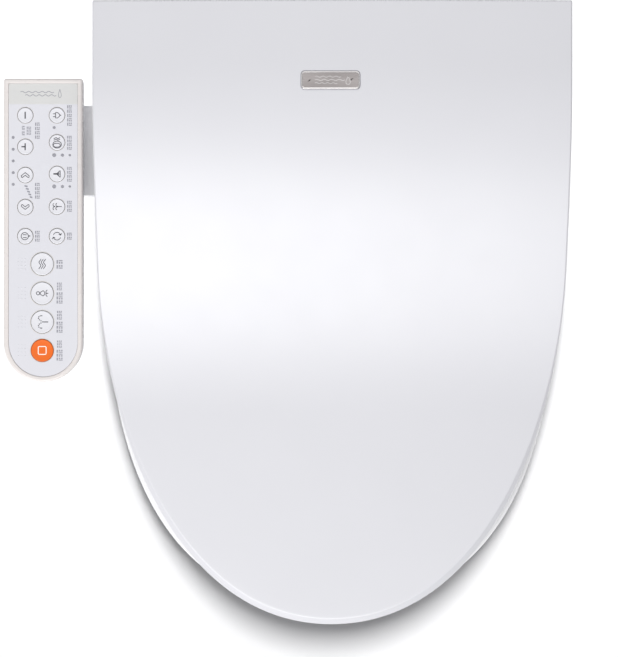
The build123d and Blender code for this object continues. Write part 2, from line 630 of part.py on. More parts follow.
def blower_motor():
    motor = rod_z(BLOWER_X, BLOWER_Y, BLOWER_Z1, BLOWER_Z1 + 22, 17)
    motor += rod_z(BLOWER_X, BLOWER_Y, BLOWER_Z1 + 22, BLOWER_Z1 + 25, 6)
    return motor - rod_z(BLOWER_X, BLOWER_Y, BLOWER_Z1 - 1, BLOWER_Z1 + 16, 2 + RUN_GAP)


def dryer_duct():
    """From the blower's spout down to the outlet in the front wall."""
    def funnel(inset):
        back = SPOUT_FRONT_Y - 0.1 + (0 if inset == 0 else 0.5)
        front = BODY_FRONT_Y + BODY_WALL + 0.1 - (0 if inset == 0 else 0.5)
        middle = ((SPOUT_X0 + SPOUT_X1) / 2, back, (BLOWER_Z0 + BLOWER_Z1) / 2)
        inner = Plane(origin=middle, x_dir=(1, 0, 0), z_dir=(0, -1, 0))
        mouth = ((OUTLET_X0 + OUTLET_X1) / 2, front, (OUTLET_Z0 + OUTLET_Z1) / 2)
        outer = Plane(origin=mouth, x_dir=(1, 0, 0), z_dir=(0, -1, 0))
        spout = Rectangle(SPOUT_X1 - SPOUT_X0 - 2 * inset, BLOWER_Z1 - BLOWER_Z0 - 2 * inset)
        outlet = Rectangle(OUTLET_X1 - OUTLET_X0 - 2 * inset, OUTLET_Z1 - OUTLET_Z0 - 2 * inset)
        return loft([inner * spout, outer * outlet])
    return funnel(0) - funnel(1.5)


def dryer_heater():
    """Resistance wires on a mica cross inside the spout."""
    middle = (BLOWER_Z0 + BLOWER_Z1) / 2
    x0 = SPOUT_X0 + 2.7
    x1 = SPOUT_X1 - 2.7
    core = block(x0, x1, -34, -26, middle - 0.5, middle + 0.5)
    core += block((x0 + x1) / 2 - 0.5, (x0 + x1) / 2 + 0.5, -34, -26, BLOWER_Z0 + 3, BLOWER_Z1 - 3)
    for z in (middle - 8, middle + 8):
        for y in (-32, -28):
            core += rod_x(x0 + 2, x1 - 2, y, z, 0.8)
    return core


def dryer_flap():
    """The flap that closes the outlet and hangs from two pivots along its top edge."""
    flap = block(OUTLET_X0 + 0.6, OUTLET_X1 - 0.6, FLAP_PIVOT_Y - 0.7, FLAP_PIVOT_Y + 0.7,
                 OUTLET_Z0 + 0.5, FLAP_PIVOT_Z + 0.7)
    return flap + rod_x(OUTLET_X0 - 2.4, OUTLET_X1 + 2.4, FLAP_PIVOT_Y, FLAP_PIVOT_Z, 0.7)


# ---- electronics ----

def main_board():
    board = block(-150, -40, -45, 30, 100, 101.6)
    board += block(-146, -118, -8, 14, 101.5, 118)
    board += block(-110, -92, 0, 18, 101.5, 117)
    board += block(-86, -72, -30, -12, 101.5, 106)
    for x in (-106, -94, -82):
        board += rod_z(x, 22, 101.5, 114, 4.5)
    for x in (-64, -56, -48):
        board += block(x - 3, x + 3, -40, -28, 101.5, 108)
    for x in (-144, -46):
        board += rod_z(x, 24, 101.5, BODY_TOP_Z - BODY_WALL - 0.1, 3)
    return board


def cord_gland():
    gland = rod_y(GLAND_X, BODY_REAR_Y - 5, BODY_REAR_Y + 9, GLAND_Z, 8)
    gland += rod_y(GLAND_X, BODY_REAR_Y + 0.1, BODY_REAR_Y + 2.5, GLAND_Z, 10.5)
    return gland - rod_y(GLAND_X, BODY_REAR_Y - 6, BODY_REAR_Y + 10, GLAND_Z, GLAND_BORE_R)


def panel_cable():
    """The lead from the main board through the arm to the panel's board."""
    x = ARM_HOLE_X
    return tube([(-140, CABLE_Y, 99.9), (-140, CABLE_Y, CABLE_Z), (x, CABLE_Y, CABLE_Z),
                 (x, CABLE_Y, BOARD_Z - 0.1)], [13, 12], CABLE_R)


# ---- control panel ----

def panel_plan(inset):
    half = PANEL_HALF - inset
    rear = PANEL_REAR_Y - inset
    straight = Pos(PANEL_CENTRE_X, (rear + PANEL_ROUND_Y) / 2) * Rectangle(2 * half, rear - PANEL_ROUND_Y)
    outline = straight + Pos(PANEL_CENTRE_X, PANEL_ROUND_Y) * Circle(half)
    return fillet(outline.vertices().group_by(Axis.Y)[-1], 2.2)


def panel_arm():
    foot = PANEL_X1 - 1.5
    end = PANEL_X0 + 17
    arm = block(end, -CHEEK_OUT_X, -58, -1, 24, 44) + block(end, -192.5, -77, -58, 24, 44)
    arm += block(end, foot, -77, -1, 44, PANEL_BOTTOM_Z)
    arm -= rod_x(ARM_HOLE_X, -CHEEK_OUT_X + 1, CABLE_Y, CABLE_Z, 4)
    arm -= block(ARM_HOLE_X - 4, ARM_HOLE_X + 14, CABLE_Y - 4, CABLE_Y + 4, CABLE_Z - 4, CABLE_Z + 13)
    return arm - rod_z(ARM_HOLE_X, CABLE_Y, CABLE_Z, PANEL_BOTTOM_Z + 1, 4)


def panel_case():
    case = raised(panel_plan(0.8), PANEL_BOTTOM_Z, PANEL_SPLIT_Z)
    case = chamfer(case.edges().group_by(Axis.Z)[0], 2)
    case -= raised(panel_plan(0.8 + PANEL_WALL), PANEL_BOTTOM_Z + PANEL_WALL, PANEL_SPLIT_Z + 1)
    for x, y in BOARD_POSTS:
        case += rod_z(x, y, PANEL_BOTTOM_Z + 1, BOARD_Z, 3)
    return case - rod_z(ARM_HOLE_X, CABLE_Y, PANEL_BOTTOM_Z - 1, PANEL_BOTTOM_Z + 3, 4)


def panel_bezel():
    ring = raised(panel_plan(0), PANEL_SPLIT_Z, PANEL_TOP_Z)
    ring = fillet(ring.edges().group_by(Axis.Z)[-1], 1.2)
    ring -= raised(panel_plan(BEZEL_WIDTH), PANEL_FACE_Z - 2, PANEL_TOP_Z + 1)
    return ring - raised(panel_plan(BEZEL_WIDTH + 2), PANEL_SPLIT_Z - 1, PANEL_FACE_Z)


def leds():
    """Place and radius of each lamp."""
    column = [(LED_COLUMN_X, y, LED_R) for y in LED_COLUMN_Y]
    rows = [(x, y, r) for y in LED_ROWS_Y for x, r in LED_ROW_X]
    return column + rows + [(*LED_POWER, LED_R)]


def panel_face():
    face = raised(panel_plan(BEZEL_WIDTH + 0.1), PANEL_FACE_Z - 1.9, PANEL_FACE_Z)
    for x, y, r in KEYS.values():
        face -= rod_z(x, y, PANEL_FACE_Z - 3, PANEL_FACE_Z + 1, r + KEY_FIT)
    for x, y, r in leds():
        face -= rod_z(x, y, PANEL_FACE_Z - 3, PANEL_FACE_Z + 1, r + 0.1)
    return face


def panel_board():
    """The keyboard's circuit board with one switch under each key."""
    board = raised(panel_plan(BEZEL_WIDTH + 3), BOARD_Z, BOARD_Z + BOARD_T)
    for x, y, r in KEYS.values():
        board += rod_z(x, y, BOARD_Z + 1, KEY_BOTTOM_Z - KEY_TRAVEL - 0.5, 2.5)
    return board


def panel_leds():
    lamps = [rod_z(x, y, BOARD_Z + BOARD_T + 0.05, PANEL_FACE_Z + 0.15, r) for x, y, r in leds()]
    return Compound(children=lamps)


def key(x, y, r):
    """A round key with a flange that keeps it under the face plate."""
    cap = rod_z(x, y, KEY_BOTTOM_Z, KEY_TOP_Z, r)
    cap = fillet(cap.edges().group_by(Axis.Z)[-1], 0.5)
    return cap + rod_z(x, y, KEY_BOTTOM_Z, KEY_BOTTOM_Z + 1.2, r + 1)


NODES = {
    "lid_shell": lid_shell,
    "lid_badge": lid_badge,
    "lid_bumpers": lid_bumpers,
    "seat_upper_shell": seat_upper_shell,
    "seat_lower_shell": seat_lower_shell,
    "seat_heater": seat_heater,
    "seat_bumpers": seat_bumpers,
    "seat_hinge_pin": seat_hinge_pin,
    "lid_hinge_pin": lid_hinge_pin,
    "seat_damper": lambda: damper(-1),
    "lid_damper": lambda: damper(1),
    "base_tray": base_tray,
    "rear_cover": rear_cover,
    "base_pads": base_pads,
    "case_screws": case_screws,
    "mounting_bracket": mounting_bracket,
    "release_button": release_button,
    "inlet_connector": inlet_connector,
    "inlet_valve": inlet_valve,
    "water_tank": water_tank,
    "tank_heater": tank_heater,
    "selector_valve": selector_valve,
    "inlet_hose": inlet_hose,
    "tank_hose": tank_hose,
    "nozzle_guide": nozzle_guide,
    "wash_nozzle": lambda: nozzle(-NOZZLE_X),
    "bidet_nozzle": lambda: nozzle(NOZZLE_X),
    "wash_pinion": lambda: pinion(-1),
    "bidet_pinion": lambda: pinion(1),
    "wash_motor": lambda: nozzle_motor(-1),
    "bidet_motor": lambda: nozzle_motor(1),
    "blower_housing": blower_housing,
    "blower_wheel": blower_wheel,
    "blower_motor": blower_motor,
    "dryer_duct": dryer_duct,
    "dryer_heater": dryer_heater,
    "dryer_flap": dryer_flap,
    "main_board": main_board,
    "cord_gland": cord_gland,
    "panel_cable": panel_cable,
    "panel_arm": panel_arm,
    "panel_case": panel_case,
    "panel_bezel": panel_bezel,
    "panel_face": panel_face,
    "panel_board": panel_board,
    "panel_leds": panel_leds,
}


def main():
    os.makedirs("parts", exist_ok=True)
    for node, make in NODES.items():
        export_step(make(), f"parts/{node}.step")
    for node, place in KEYS.items():
        export_step(key(*place), f"parts/{node}.step")


main()
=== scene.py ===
"""Electric bidet seat: the visual model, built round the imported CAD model."""
import json
import logging
import math
from collections.abc import Callable, Iterable, Sequence
from dataclasses import dataclass, field
from enum import Enum

import bmesh
import bpy
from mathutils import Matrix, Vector

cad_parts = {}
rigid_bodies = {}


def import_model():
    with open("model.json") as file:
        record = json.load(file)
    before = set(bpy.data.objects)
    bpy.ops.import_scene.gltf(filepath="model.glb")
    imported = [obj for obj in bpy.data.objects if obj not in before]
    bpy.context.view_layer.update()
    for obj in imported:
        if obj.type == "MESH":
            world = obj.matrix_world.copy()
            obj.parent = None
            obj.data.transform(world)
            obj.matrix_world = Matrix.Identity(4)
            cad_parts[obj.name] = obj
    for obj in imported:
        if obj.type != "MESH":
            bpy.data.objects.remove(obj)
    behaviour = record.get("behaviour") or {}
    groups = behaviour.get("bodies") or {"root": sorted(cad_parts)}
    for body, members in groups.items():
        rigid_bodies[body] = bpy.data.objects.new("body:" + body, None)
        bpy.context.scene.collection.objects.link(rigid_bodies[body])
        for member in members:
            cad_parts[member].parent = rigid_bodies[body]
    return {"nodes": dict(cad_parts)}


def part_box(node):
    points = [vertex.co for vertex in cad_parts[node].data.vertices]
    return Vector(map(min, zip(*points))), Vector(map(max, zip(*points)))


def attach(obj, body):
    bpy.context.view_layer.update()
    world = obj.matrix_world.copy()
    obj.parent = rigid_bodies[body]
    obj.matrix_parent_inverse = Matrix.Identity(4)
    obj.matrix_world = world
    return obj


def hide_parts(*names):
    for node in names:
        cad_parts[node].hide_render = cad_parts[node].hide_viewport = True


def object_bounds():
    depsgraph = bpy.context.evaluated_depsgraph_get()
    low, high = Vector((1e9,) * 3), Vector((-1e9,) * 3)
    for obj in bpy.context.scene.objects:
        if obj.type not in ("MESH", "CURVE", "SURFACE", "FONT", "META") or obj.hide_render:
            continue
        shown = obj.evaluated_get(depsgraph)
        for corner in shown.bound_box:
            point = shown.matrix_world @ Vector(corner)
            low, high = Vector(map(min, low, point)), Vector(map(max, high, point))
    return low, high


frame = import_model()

LOG = logging.getLogger("bidet_seat")
CAD_BOUNDS = [list(corner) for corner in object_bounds()]
MM = 0.001
HINGE_LINE = (46.0, 118.0)     # Y and Z of the line that the seat and the lid turn about, in millimetres
PANEL_EDGE_X = -0.185          # pieces wholly to the left of this belong to the side panel, in metres
MATERIALS: dict[str, bpy.types.Material] = {}

Colour = tuple[float, float, float]
Point2 = tuple[float, float]
Point3 = tuple[float, float, float]
Line = tuple[list[Point2], bool]


# ---------------------------------------------------------------- finishes


class Graph:
    """A material's node tree, with short calls for the nodes that the finishes share."""

    def __init__(self, name: str) -> None:
        """Start a material with one Principled shader.

        Args:
            name: the material's name.
        """
        self.material = bpy.data.materials.new(name)
        self.material.use_nodes = True
        self.nodes = self.material.node_tree.nodes
        self.links = self.material.node_tree.links
        self.shader = self.nodes["Principled BSDF"]

    def add(self, kind: str, **values: object) -> bpy.types.Node:
        """Add a node.

        Args:
            kind: the node's type, without its ShaderNode prefix.
            values: input sockets by name, with underscores for spaces.

        Returns:
            The new node.
        """
        node = self.nodes.new("ShaderNode" + kind)
        for key, value in values.items():
            node.inputs[key.replace("_", " ")].default_value = value
        return node

    def link(self, start: bpy.types.NodeSocket, end: bpy.types.NodeSocket) -> None:
        """Join an output socket to an input socket."""
        self.links.new(start, end)

    def place(self, stretch: Point3 = (1, 1, 1)) -> bpy.types.NodeSocket:
        """Give the piece's own coordinates in metres, stretched along each axis."""
        mapping = self.add("Mapping", Scale=stretch)
        self.link(self.add("TexCoord").outputs["Object"], mapping.inputs["Vector"])
        return mapping.outputs["Vector"]

    def noise(self, scale: float, detail: float = 3.0, stretch: Point3 = (1, 1, 1)) -> bpy.types.NodeSocket:
        """Add a noise whose lumps are about 1/scale metres wide."""
        node = self.add("TexNoise", Scale=scale, Detail=detail)
        self.link(self.place(stretch), node.inputs["Vector"])
        return node.outputs["Fac"]

    def range(self, value: bpy.types.NodeSocket, low: float, high: float) -> bpy.types.NodeSocket:
        """Spread the middle of a noise over low to high."""
        node = self.add("MapRange", From_Min=0.3, From_Max=0.7, To_Min=low, To_Max=high)
        self.link(value, node.inputs["Value"])
        return node.outputs["Result"]

    def blend(self, fac: bpy.types.NodeSocket, first: Colour, second: Colour) -> bpy.types.NodeSocket:
        """Mix two colours by a value."""
        node = self.add("Mix")
        node.data_type = "RGBA"
        node.inputs[6].default_value = (*first, 1.0)
        node.inputs[7].default_value = (*second, 1.0)
        self.link(fac, node.inputs[0])
        return node.outputs[2]

    def bump(self, height: bpy.types.NodeSocket, depth: float, strength: float = 1.0) -> None:
        """Raise the shader's surface by a height map, on top of any bump already there."""
        node = self.add("Bump", Strength=strength, Distance=depth)
        self.link(height, node.inputs["Height"])
        normal = self.shader.inputs["Normal"]
        if normal.is_linked:
            self.link(normal.links[0].from_socket, node.inputs["Normal"])
        self.link(node.outputs["Normal"], normal)


@dataclass(frozen=True)
class Finish:
    """A moulded or coated surface: a faintly uneven colour, uneven gloss and a fine relief.

    Attributes:
        name: the material's name.
        colour: the colour, linear.
        rough: the middle roughness.
        spread: how far the colour and roughness wander.
        metal: metallic, 0 or 1.
        coat: weight of the clear top layer.
        coat_rough: roughness of the clear top layer.
        grain: depth of the relief in metres.
        grain_scale: lumps of the relief per metre.
    """

    name: str
    colour: Colour
    rough: float = 0.3
    spread: float = 0.04
    metal: float = 0.0
    coat: float = 0.0
    coat_rough: float = 0.06
    grain: float = 0.00001
    grain_scale: float = 500.0

    def build(self) -> bpy.types.Material:
        """Make the material once and return it."""
        if self.name in MATERIALS:
            return MATERIALS[self.name]
        graph = Graph(self.name)
        shader = graph.shader.inputs
        shader["Metallic"].default_value = self.metal
        shader["Coat Weight"].default_value = self.coat
        shader["Coat Roughness"].default_value = self.coat_rough
        self.paint(graph)
        self.polish(graph)
        self.emboss(graph)
        MATERIALS[self.name] = graph.material
        return graph.material

    def darker(self, share: float) -> Colour:
        """The finish's colour, darker by a share."""
        return tuple(c * (1 - share) for c in self.colour)

    def paint(self, graph: Graph) -> None:
        """Give the shader its colour."""
        wander = graph.range(graph.noise(14.0), 0.0, 1.0)
        colour = graph.blend(wander, self.darker(self.spread), self.colour)
        graph.link(colour, graph.shader.inputs["Base Color"])

    def polish(self, graph: Graph) -> None:
        """Give the shader its roughness, with faint rubbed patches."""
        patches = graph.noise(36.0, 6.0)
        half = self.rough * (0.08 + self.spread)
        gloss = graph.range(patches, self.rough - half, self.rough + half)
        graph.link(gloss, graph.shader.inputs["Roughness"])

    def emboss(self, graph: Graph) -> None:
        """Give the shader its relief."""
        graph.bump(graph.noise(self.grain_scale, 2.0), self.grain)


@dataclass(frozen=True)
class BrushedFinish(Finish):
    """Metal with straight brush marks along X."""

    def polish(self, graph: Graph) -> None:
        """Vary the roughness from mark to mark."""
        marks = graph.noise(self.grain_scale, 4.0, (0.02, 1.0, 1.0))
        graph.link(graph.range(marks, self.rough * 0.7, self.rough * 1.35), graph.shader.inputs["Roughness"])
        graph.shader.inputs["Anisotropic"].default_value = 0.4

    def emboss(self, graph: Graph) -> None:
        """Cut the marks."""
        graph.bump(graph.noise(self.grain_scale, 4.0, (0.02, 1.0, 1.0)), self.grain)


@dataclass(frozen=True)
class BoardFinish(Finish):
    """A circuit board: lacquer over copper tracks."""

    track: Colour = (0.10, 0.42, 0.20)

    def paint(self, graph: Graph) -> None:
        """Draw tracks as the edges of square cells."""
        cells = graph.add("TexVoronoi", Scale=260.0)
        cells.distance = "CHEBYCHEV"
        graph.link(graph.place((1.0, 1.0, 0.05)), cells.inputs["Vector"])
        step = graph.add("MapRange", From_Min=0.42, From_Max=0.46, To_Min=0.0, To_Max=1.0)
        graph.link(cells.outputs["Distance"], step.inputs["Value"])
        colour = graph.blend(step.outputs["Result"], self.colour, self.track)
        graph.link(colour, graph.shader.inputs["Base Color"])


@dataclass(frozen=True)
class FoilFinish(Finish):
    """Foil with fine etched tracks."""

    def paint(self, graph: Graph) -> None:
        """Lay parallel tracks across the foil."""
        wave = graph.add("TexWave", Scale=55.0, Distortion=1.5)
        graph.link(graph.place(), wave.inputs["Vector"])
        colour = graph.blend(wave.outputs["Fac"], self.darker(0.45), self.colour)
        graph.link(colour, graph.shader.inputs["Base Color"])


@dataclass(frozen=True)
class ClearFinish(Finish):
    """A clear or milky part: a lamp's lens or a silicone hose."""

    clear: float = 0.4

    def emboss(self, graph: Graph) -> None:
        """Let some light through and ripple the surface a little."""
        graph.shader.inputs["Transmission Weight"].default_value = self.clear
        graph.shader.inputs["IOR"].default_value = 1.43
        graph.bump(graph.noise(self.grain_scale, 2.0), self.grain)


# The lid's white is set darker than the seat's white: painted shade, so that the lid's flat top shows light
# grey while its slopes still catch bright highlights.
LID_WHITE_WITH_PAINTED_SHADE = Finish("lid_gloss_white_with_painted_shade", (0.62, 0.62, 0.65), 0.40, 0.012, coat=0.95, coat_rough=0.42,
                   grain=0.0000015, grain_scale=190)
SEAT_WHITE = Finish("seat_gloss_white", (0.80, 0.80, 0.81), 0.18, 0.012, coat=0.3,
                    grain=0.000003, grain_scale=210)
CASE_WHITE = Finish("case_satin_white", (0.86, 0.86, 0.875), 0.33, 0.02, grain=0.000012, grain_scale=1500)
INNER_WHITE = Finish("inner_natural_plastic", (0.68, 0.68, 0.66), 0.5, 0.05, grain=0.00002, grain_scale=1300)
BEZEL_CREAM = Finish("bezel_cream", (0.71, 0.67, 0.65), 0.28, 0.02, coat=0.15,
                     grain=0.000006, grain_scale=700)
FACE_LAVENDER = Finish("face_lavender", (0.66, 0.66, 0.70), 0.2, 0.015, coat=0.5,
                       grain=0.000002, grain_scale=260)
KEY_WHITE = Finish("key_gloss_white", (0.71, 0.71, 0.745), 0.22, 0.015, coat=0.4,
                   grain=0.000003, grain_scale=500)
KEY_ORANGE = Finish("key_gloss_orange", (0.80, 0.135, 0.0), 0.42, 0.03, grain=0.000003, grain_scale=500)
BAND_BEIGE = Finish("header_band_beige", (0.62, 0.62, 0.61), 0.3, 0.02, grain=0.000002, grain_scale=800)
INK_DARK = Finish("print_dark_grey", (0.07, 0.07, 0.085), 0.5, 0.15, grain=0.000004, grain_scale=2600)
INK_MID = Finish("print_mid_grey", (0.30, 0.30, 0.34), 0.5, 0.12, grain=0.000004, grain_scale=2600)
INK_PALE = Finish("print_pale_beige", (0.66, 0.64, 0.62), 0.4, 0.06, grain=0.000003, grain_scale=2600)
INK_RING = Finish("print_ring_beige", (0.64, 0.62, 0.595), 0.4, 0.05, grain=0.000003, grain_scale=2600)
INK_WHITE = Finish("print_white", (0.93, 0.88, 0.80), 0.4, 0.03, grain=0.000003, grain_scale=2600)
BADGE_METAL = BrushedFinish("badge_brushed_metal", (0.40, 0.37, 0.365), 0.34, 0.06, metal=1.0,
                            grain=0.000012, grain_scale=2400)
BADGE_RIM = BrushedFinish("badge_bright_rim", (0.62, 0.60, 0.595), 0.24, 0.05, metal=1.0,
                          grain=0.000006, grain_scale=2400)
STEEL = BrushedFinish("turned_steel", (0.55, 0.55, 0.56), 0.3, 0.05, metal=1.0,
                      grain=0.00001, grain_scale=1800)
BRASS = BrushedFinish("machined_brass", (0.78, 0.58, 0.26), 0.26, 0.08, metal=1.0,
                      grain=0.00001, grain_scale=1500)
MOTOR_CAN = BrushedFinish("plated_motor_can", (0.45, 0.46, 0.47), 0.36, 0.06, metal=1.0,
                          grain=0.00001, grain_scale=1200)
RUBBER = Finish("pale_rubber", (0.62, 0.62, 0.60), 0.62, 0.08, grain=0.00003, grain_scale=1900)
BLACK_PLASTIC = Finish("black_glass_filled", (0.018, 0.018, 0.02), 0.48, 0.2, grain=0.00003, grain_scale=1700)
CABLE_GREY = Finish("cable_jacket", (0.06, 0.06, 0.065), 0.5, 0.1, grain=0.00002, grain_scale=1600)
ACETAL = Finish("natural_acetal", (0.76, 0.73, 0.62), 0.4, 0.04, grain=0.00001, grain_scale=900)
BOARD = BoardFinish("circuit_board", (0.012, 0.12, 0.045), 0.34, 0.1, coat=0.3,
                    grain=0.00001, grain_scale=700)
FOIL = FoilFinish("heater_foil", (0.72, 0.69, 0.62), 0.32, 0.1, metal=1.0, grain=0.00003, grain_scale=500)
HOSE = ClearFinish("milky_hose", (0.62, 0.64, 0.60), 0.35, 0.05, grain=0.00001, grain_scale=600, clear=0.25)
LENS = ClearFinish("lamp_lens", (0.38, 0.38, 0.42), 0.2, 0.1, grain=0.000003, grain_scale=900, clear=0.15)
FLOOR = Finish("pale_floor", (0.90, 0.90, 0.905), 0.7, 0.006, grain=0.00001, grain_scale=300)


# ---------------------------------------------------------------- shapes


@dataclass(frozen=True)
class Box:
    """A node's box at rest, in millimetres."""

    x0: float
    y0: float
    z0: float
    x1: float
    y1: float
    z1: float

    @classmethod
    def of(cls, node: str) -> "Box":
        """Read the box of a CAD node."""
        low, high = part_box(node)
        return cls(*(c / MM for c in low), *(c / MM for c in high))

    @property
    def centre(self) -> Point3:
        """The middle of the box."""
        return ((self.x0 + self.x1) / 2, (self.y0 + self.y1) / 2, (self.z0 + self.z1) / 2)


def smooth(value: float, low: float, high: float) -> float:
    """Rise from 0 at low to 1 at high with level ends."""
    share = min(1.0, max(0.0, (value - low) / (high - low)))
    return share * share * (3 - 2 * share)


def bezier(points: Sequence[Point2], share: float) -> Point2:
    """A point of a cubic curve, share from 0 to 1."""
    rest = 1 - share
    weights = (rest**3, 3 * rest * rest * share, 3 * rest * share * share, share**3)
    return (sum(w * p[0] for w, p in zip(weights, points)), sum(w * p[1] for w, p in zip(weights, points)))


def arc(centre: Point2, radius: float, start: float, end: float, steps: int = 12) -> list[Point2]:
    """Points along an arc, angles in degrees."""
    turns = [math.radians(start + (end - start) * i / steps) for i in range(steps + 1)]
    return [(centre[0] + radius * math.cos(t), centre[1] + radius * math.sin(t)) for t in turns]


def dense(points: Sequence[Point2], loop: bool = False, step: float = 0.45) -> list[Point2]:
    """Fill straight runs with points, so that a stroke keeps its width at the corners."""
    ends = list(points[1:]) + ([points[0]] if loop else [])
    result: list[Point2] = []
    for (ax, ay), (bx, by) in zip(points, ends):
        count = max(1, round(math.hypot(bx - ax, by - ay) / step))
        result += [(ax + (bx - ax) * i / count, ay + (by - ay) * i / count) for i in range(count)]
    return result if loop else result + [points[-1]]


def bar(start: Point2, end: Point2, step: float = 0.45) -> Line:
    """An open straight line."""
    return (dense([start, end], step=step), False)


def circle(x: float, y: float, radius: float) -> Line:
    """A closed round line."""
    return (arc((x, y), radius, 0, 350, 35), True)


def drop_line(centre: Point2, half_width: float, half_height: float, steps: int = 40) -> list[Point2]:
    """The outline of a drop with its tip up, for a closed stroke."""
    turns = [math.tau * i / steps for i in range(steps)]
    return [(centre[0] + half_width * math.sin(t) * math.sin(t / 2) ** 1.5,
             centre[1] + half_height * math.cos(t)) for t in turns]


def rounded_plate(width: float, height: float, radius: float, steps: int = 8) -> list[Point2]:
    """The outline of a rectangle with round corners, about the origin."""
    x, y = width / 2 - radius, height / 2 - radius
    corners = ((x, y, 0), (-x, y, 90), (-x, -y, 180), (x, -y, 270))
    return [p for cx, cy, start in corners for p in arc((cx, cy), radius, start, start + 90, steps)]


class Draft:
    """A mesh being drawn in millimetres, before it becomes a piece."""

    def __init__(self) -> None:
        """Start with nothing."""
        self.points: list[Point3] = []
        self.faces: list[tuple[int, ...]] = []

    def grid(self, rows: Sequence[Sequence[Point3]], wrap: bool = True, closed: bool = False) -> "Draft":
        """Skin a stack of rows that have the same number of points.

        Args:
            rows: the rows, in order.
            wrap: join each row's last point to its first.
            closed: join the last row to the first.

        Returns:
            The draft itself.
        """
        start, count = len(self.points), len(rows[0])
        for row in rows:
            self.points.extend(row)
        last = len(rows) if closed else len(rows) - 1
        for i in range(last):
            low, high = start + i * count, start + (i + 1) % len(rows) * count
            for j in range(count if wrap else count - 1):
                k = (j + 1) % count
                self.faces.append((low + j, low + k, high + k, high + j))
        return self

    def prism(self, outline: Sequence[Point2], z0: float, z1: float, edge: float = 0.0) -> "Draft":
        """Stand an outline up between two heights, its top edge eased inwards by edge."""
        middle = (sum(p[0] for p in outline) / len(outline), sum(p[1] for p in outline) / len(outline))

        def shrunk(inset: float, z: float) -> list[Point3]:
            row = []
            for x, y in outline:
                away = math.hypot(x - middle[0], y - middle[1]) or 1.0
                row.append((x - (x - middle[0]) / away * inset, y - (y - middle[1]) / away * inset, z))
            return row

        start = len(self.points)
        rows = [shrunk(0, z0), shrunk(0, z1 - edge), shrunk(edge * 0.3, z1 - edge * 0.3), shrunk(edge, z1)]
        if edge == 0:
            rows = [shrunk(0, z0), shrunk(0, z1)]
        self.grid(rows)
        count = len(outline)
        top = start + (len(rows) - 1) * count
        self.faces.append(tuple(range(start + count - 1, start - 1, -1)))
        self.faces.append(tuple(range(top, top + count)))
        return self

    def lathe(self, profile: Sequence[Point2], centre: Point3, axis: str = "Z", steps: int = 48) -> "Draft":
        """Turn a profile of (radius, height) about an axis through centre."""
        rows = []
        for radius, height in profile:
            row = []
            for i in range(steps):
                turn = math.tau * i / steps
                a, b = radius * math.cos(turn), radius * math.sin(turn)
                spot = {"X": (height, a, b), "Y": (b, height, a), "Z": (a, b, height)}[axis]
                row.append(tuple(c + s for c, s in zip(centre, spot)))
            rows.append(row)
        return self.grid(rows)

    def stroke(self, line: Sequence[Point2], width: float, z0: float, z1: float,
               loop: bool = False) -> "Draft":
        """Lay a flat stroke of one width along a line."""
        half, count = width / 2, len(line)
        left, right = [], []
        for i, (x, y) in enumerate(line):
            before = line[(i - 1) % count] if loop or i else line[0]
            after = line[(i + 1) % count] if loop or i < count - 1 else line[-1]
            across = Vector((-(after[1] - before[1]), after[0] - before[0])).normalized() * half
            left.append((x + across.x, y + across.y))
            right.append((x - across.x, y - across.y))
        sides = ((left, z0), (left, z1), (right, z1), (right, z0))
        section = [[(*side[i], z) for side, z in sides] for i in range(count)]
        start = len(self.points)
        self.grid(section, closed=loop)
        if not loop:
            end = len(self.points) - 4
            self.faces.append((start + 3, start + 2, start + 1, start))
            self.faces.append((end, end + 1, end + 2, end + 3))
        return self

    def make(self, name: str, finish: Finish, body: str, replaces: Iterable[str] = (), crease: float = 32.0,
             slot: str = "") -> bpy.types.Object:
        """Turn the draft into a piece.

        Args:
            name: the piece's name.
            finish: its finish.
            body: the CAD body that it rides on.
            replaces: the CAD nodes that it stands for.
            crease: the angle in degrees above which an edge stays sharp.
            slot: the record's material slot, where no node is replaced; not used.

        Returns:
            The new object.
        """
        mesh = bpy.data.meshes.new(name)
        mesh.from_pydata([tuple(c * MM for c in p) for p in self.points], [], self.faces)
        return finish_piece(name, mesh, finish, body, replaces, crease)


def finish_piece(name: str, mesh: bpy.types.Mesh, finish: Finish, body: str, replaces: Iterable[str] = (),
                 crease: float = 32.0) -> bpy.types.Object:
    """Clean a mesh, shade it, dress it and fix it to its body. See Draft.make for the arguments."""
    work = bmesh.new()
    work.from_mesh(mesh)
    bmesh.ops.remove_doubles(work, verts=work.verts, dist=2e-7)
    bmesh.ops.dissolve_degenerate(work, edges=work.edges, dist=1e-7)
    bmesh.ops.recalc_face_normals(work, faces=work.faces)
    work.to_mesh(mesh)
    work.free()
    mesh.shade_smooth()
    mesh.set_sharp_from_angle(angle=math.radians(crease))
    piece = bpy.data.objects.new(name, mesh)
    bpy.context.scene.collection.objects.link(piece)
    mesh.materials.clear()
    mesh.materials.append(finish.build())
    if replaces:
        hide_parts(*replaces)
    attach(piece, body)
    LOG.info("%s: %d faces, on %s", name, len(mesh.polygons), body)
    return piece


def softened(node: str, name: str, finish: Finish, body: str, width: float,
             steps: int = 2) -> bpy.types.Object:
    """Stand a copy of a CAD node with eased edges in its place.

    Args:
        node: the CAD node.
        name: the new piece's name.
        finish: its finish.
        body: the body that both ride on.
        width: how wide the eased edge is, in millimetres.
        steps: how many facets round the edge.

    Returns:
        The new piece.
    """
    mesh = frame["nodes"][node].data.copy()
    mesh.name = name
    work = bmesh.new()
    work.from_mesh(mesh)
    bmesh.ops.remove_doubles(work, verts=work.verts, dist=1e-6)
    sharp = [e for e in work.edges if len(e.link_faces) == 2 and e.calc_face_angle(0) > math.radians(35)]
    bmesh.ops.bevel(work, geom=sharp, offset=width * MM, segments=steps, profile=0.5, affect="EDGES",
                    clamp_overlap=True)
    work.to_mesh(mesh)
    work.free()
    piece = finish_piece(name, mesh, finish, body, (node,), 40.0)
    even = piece.modifiers.new("even_shading", "WEIGHTED_NORMAL")
    even.keep_sharp = True
    return piece


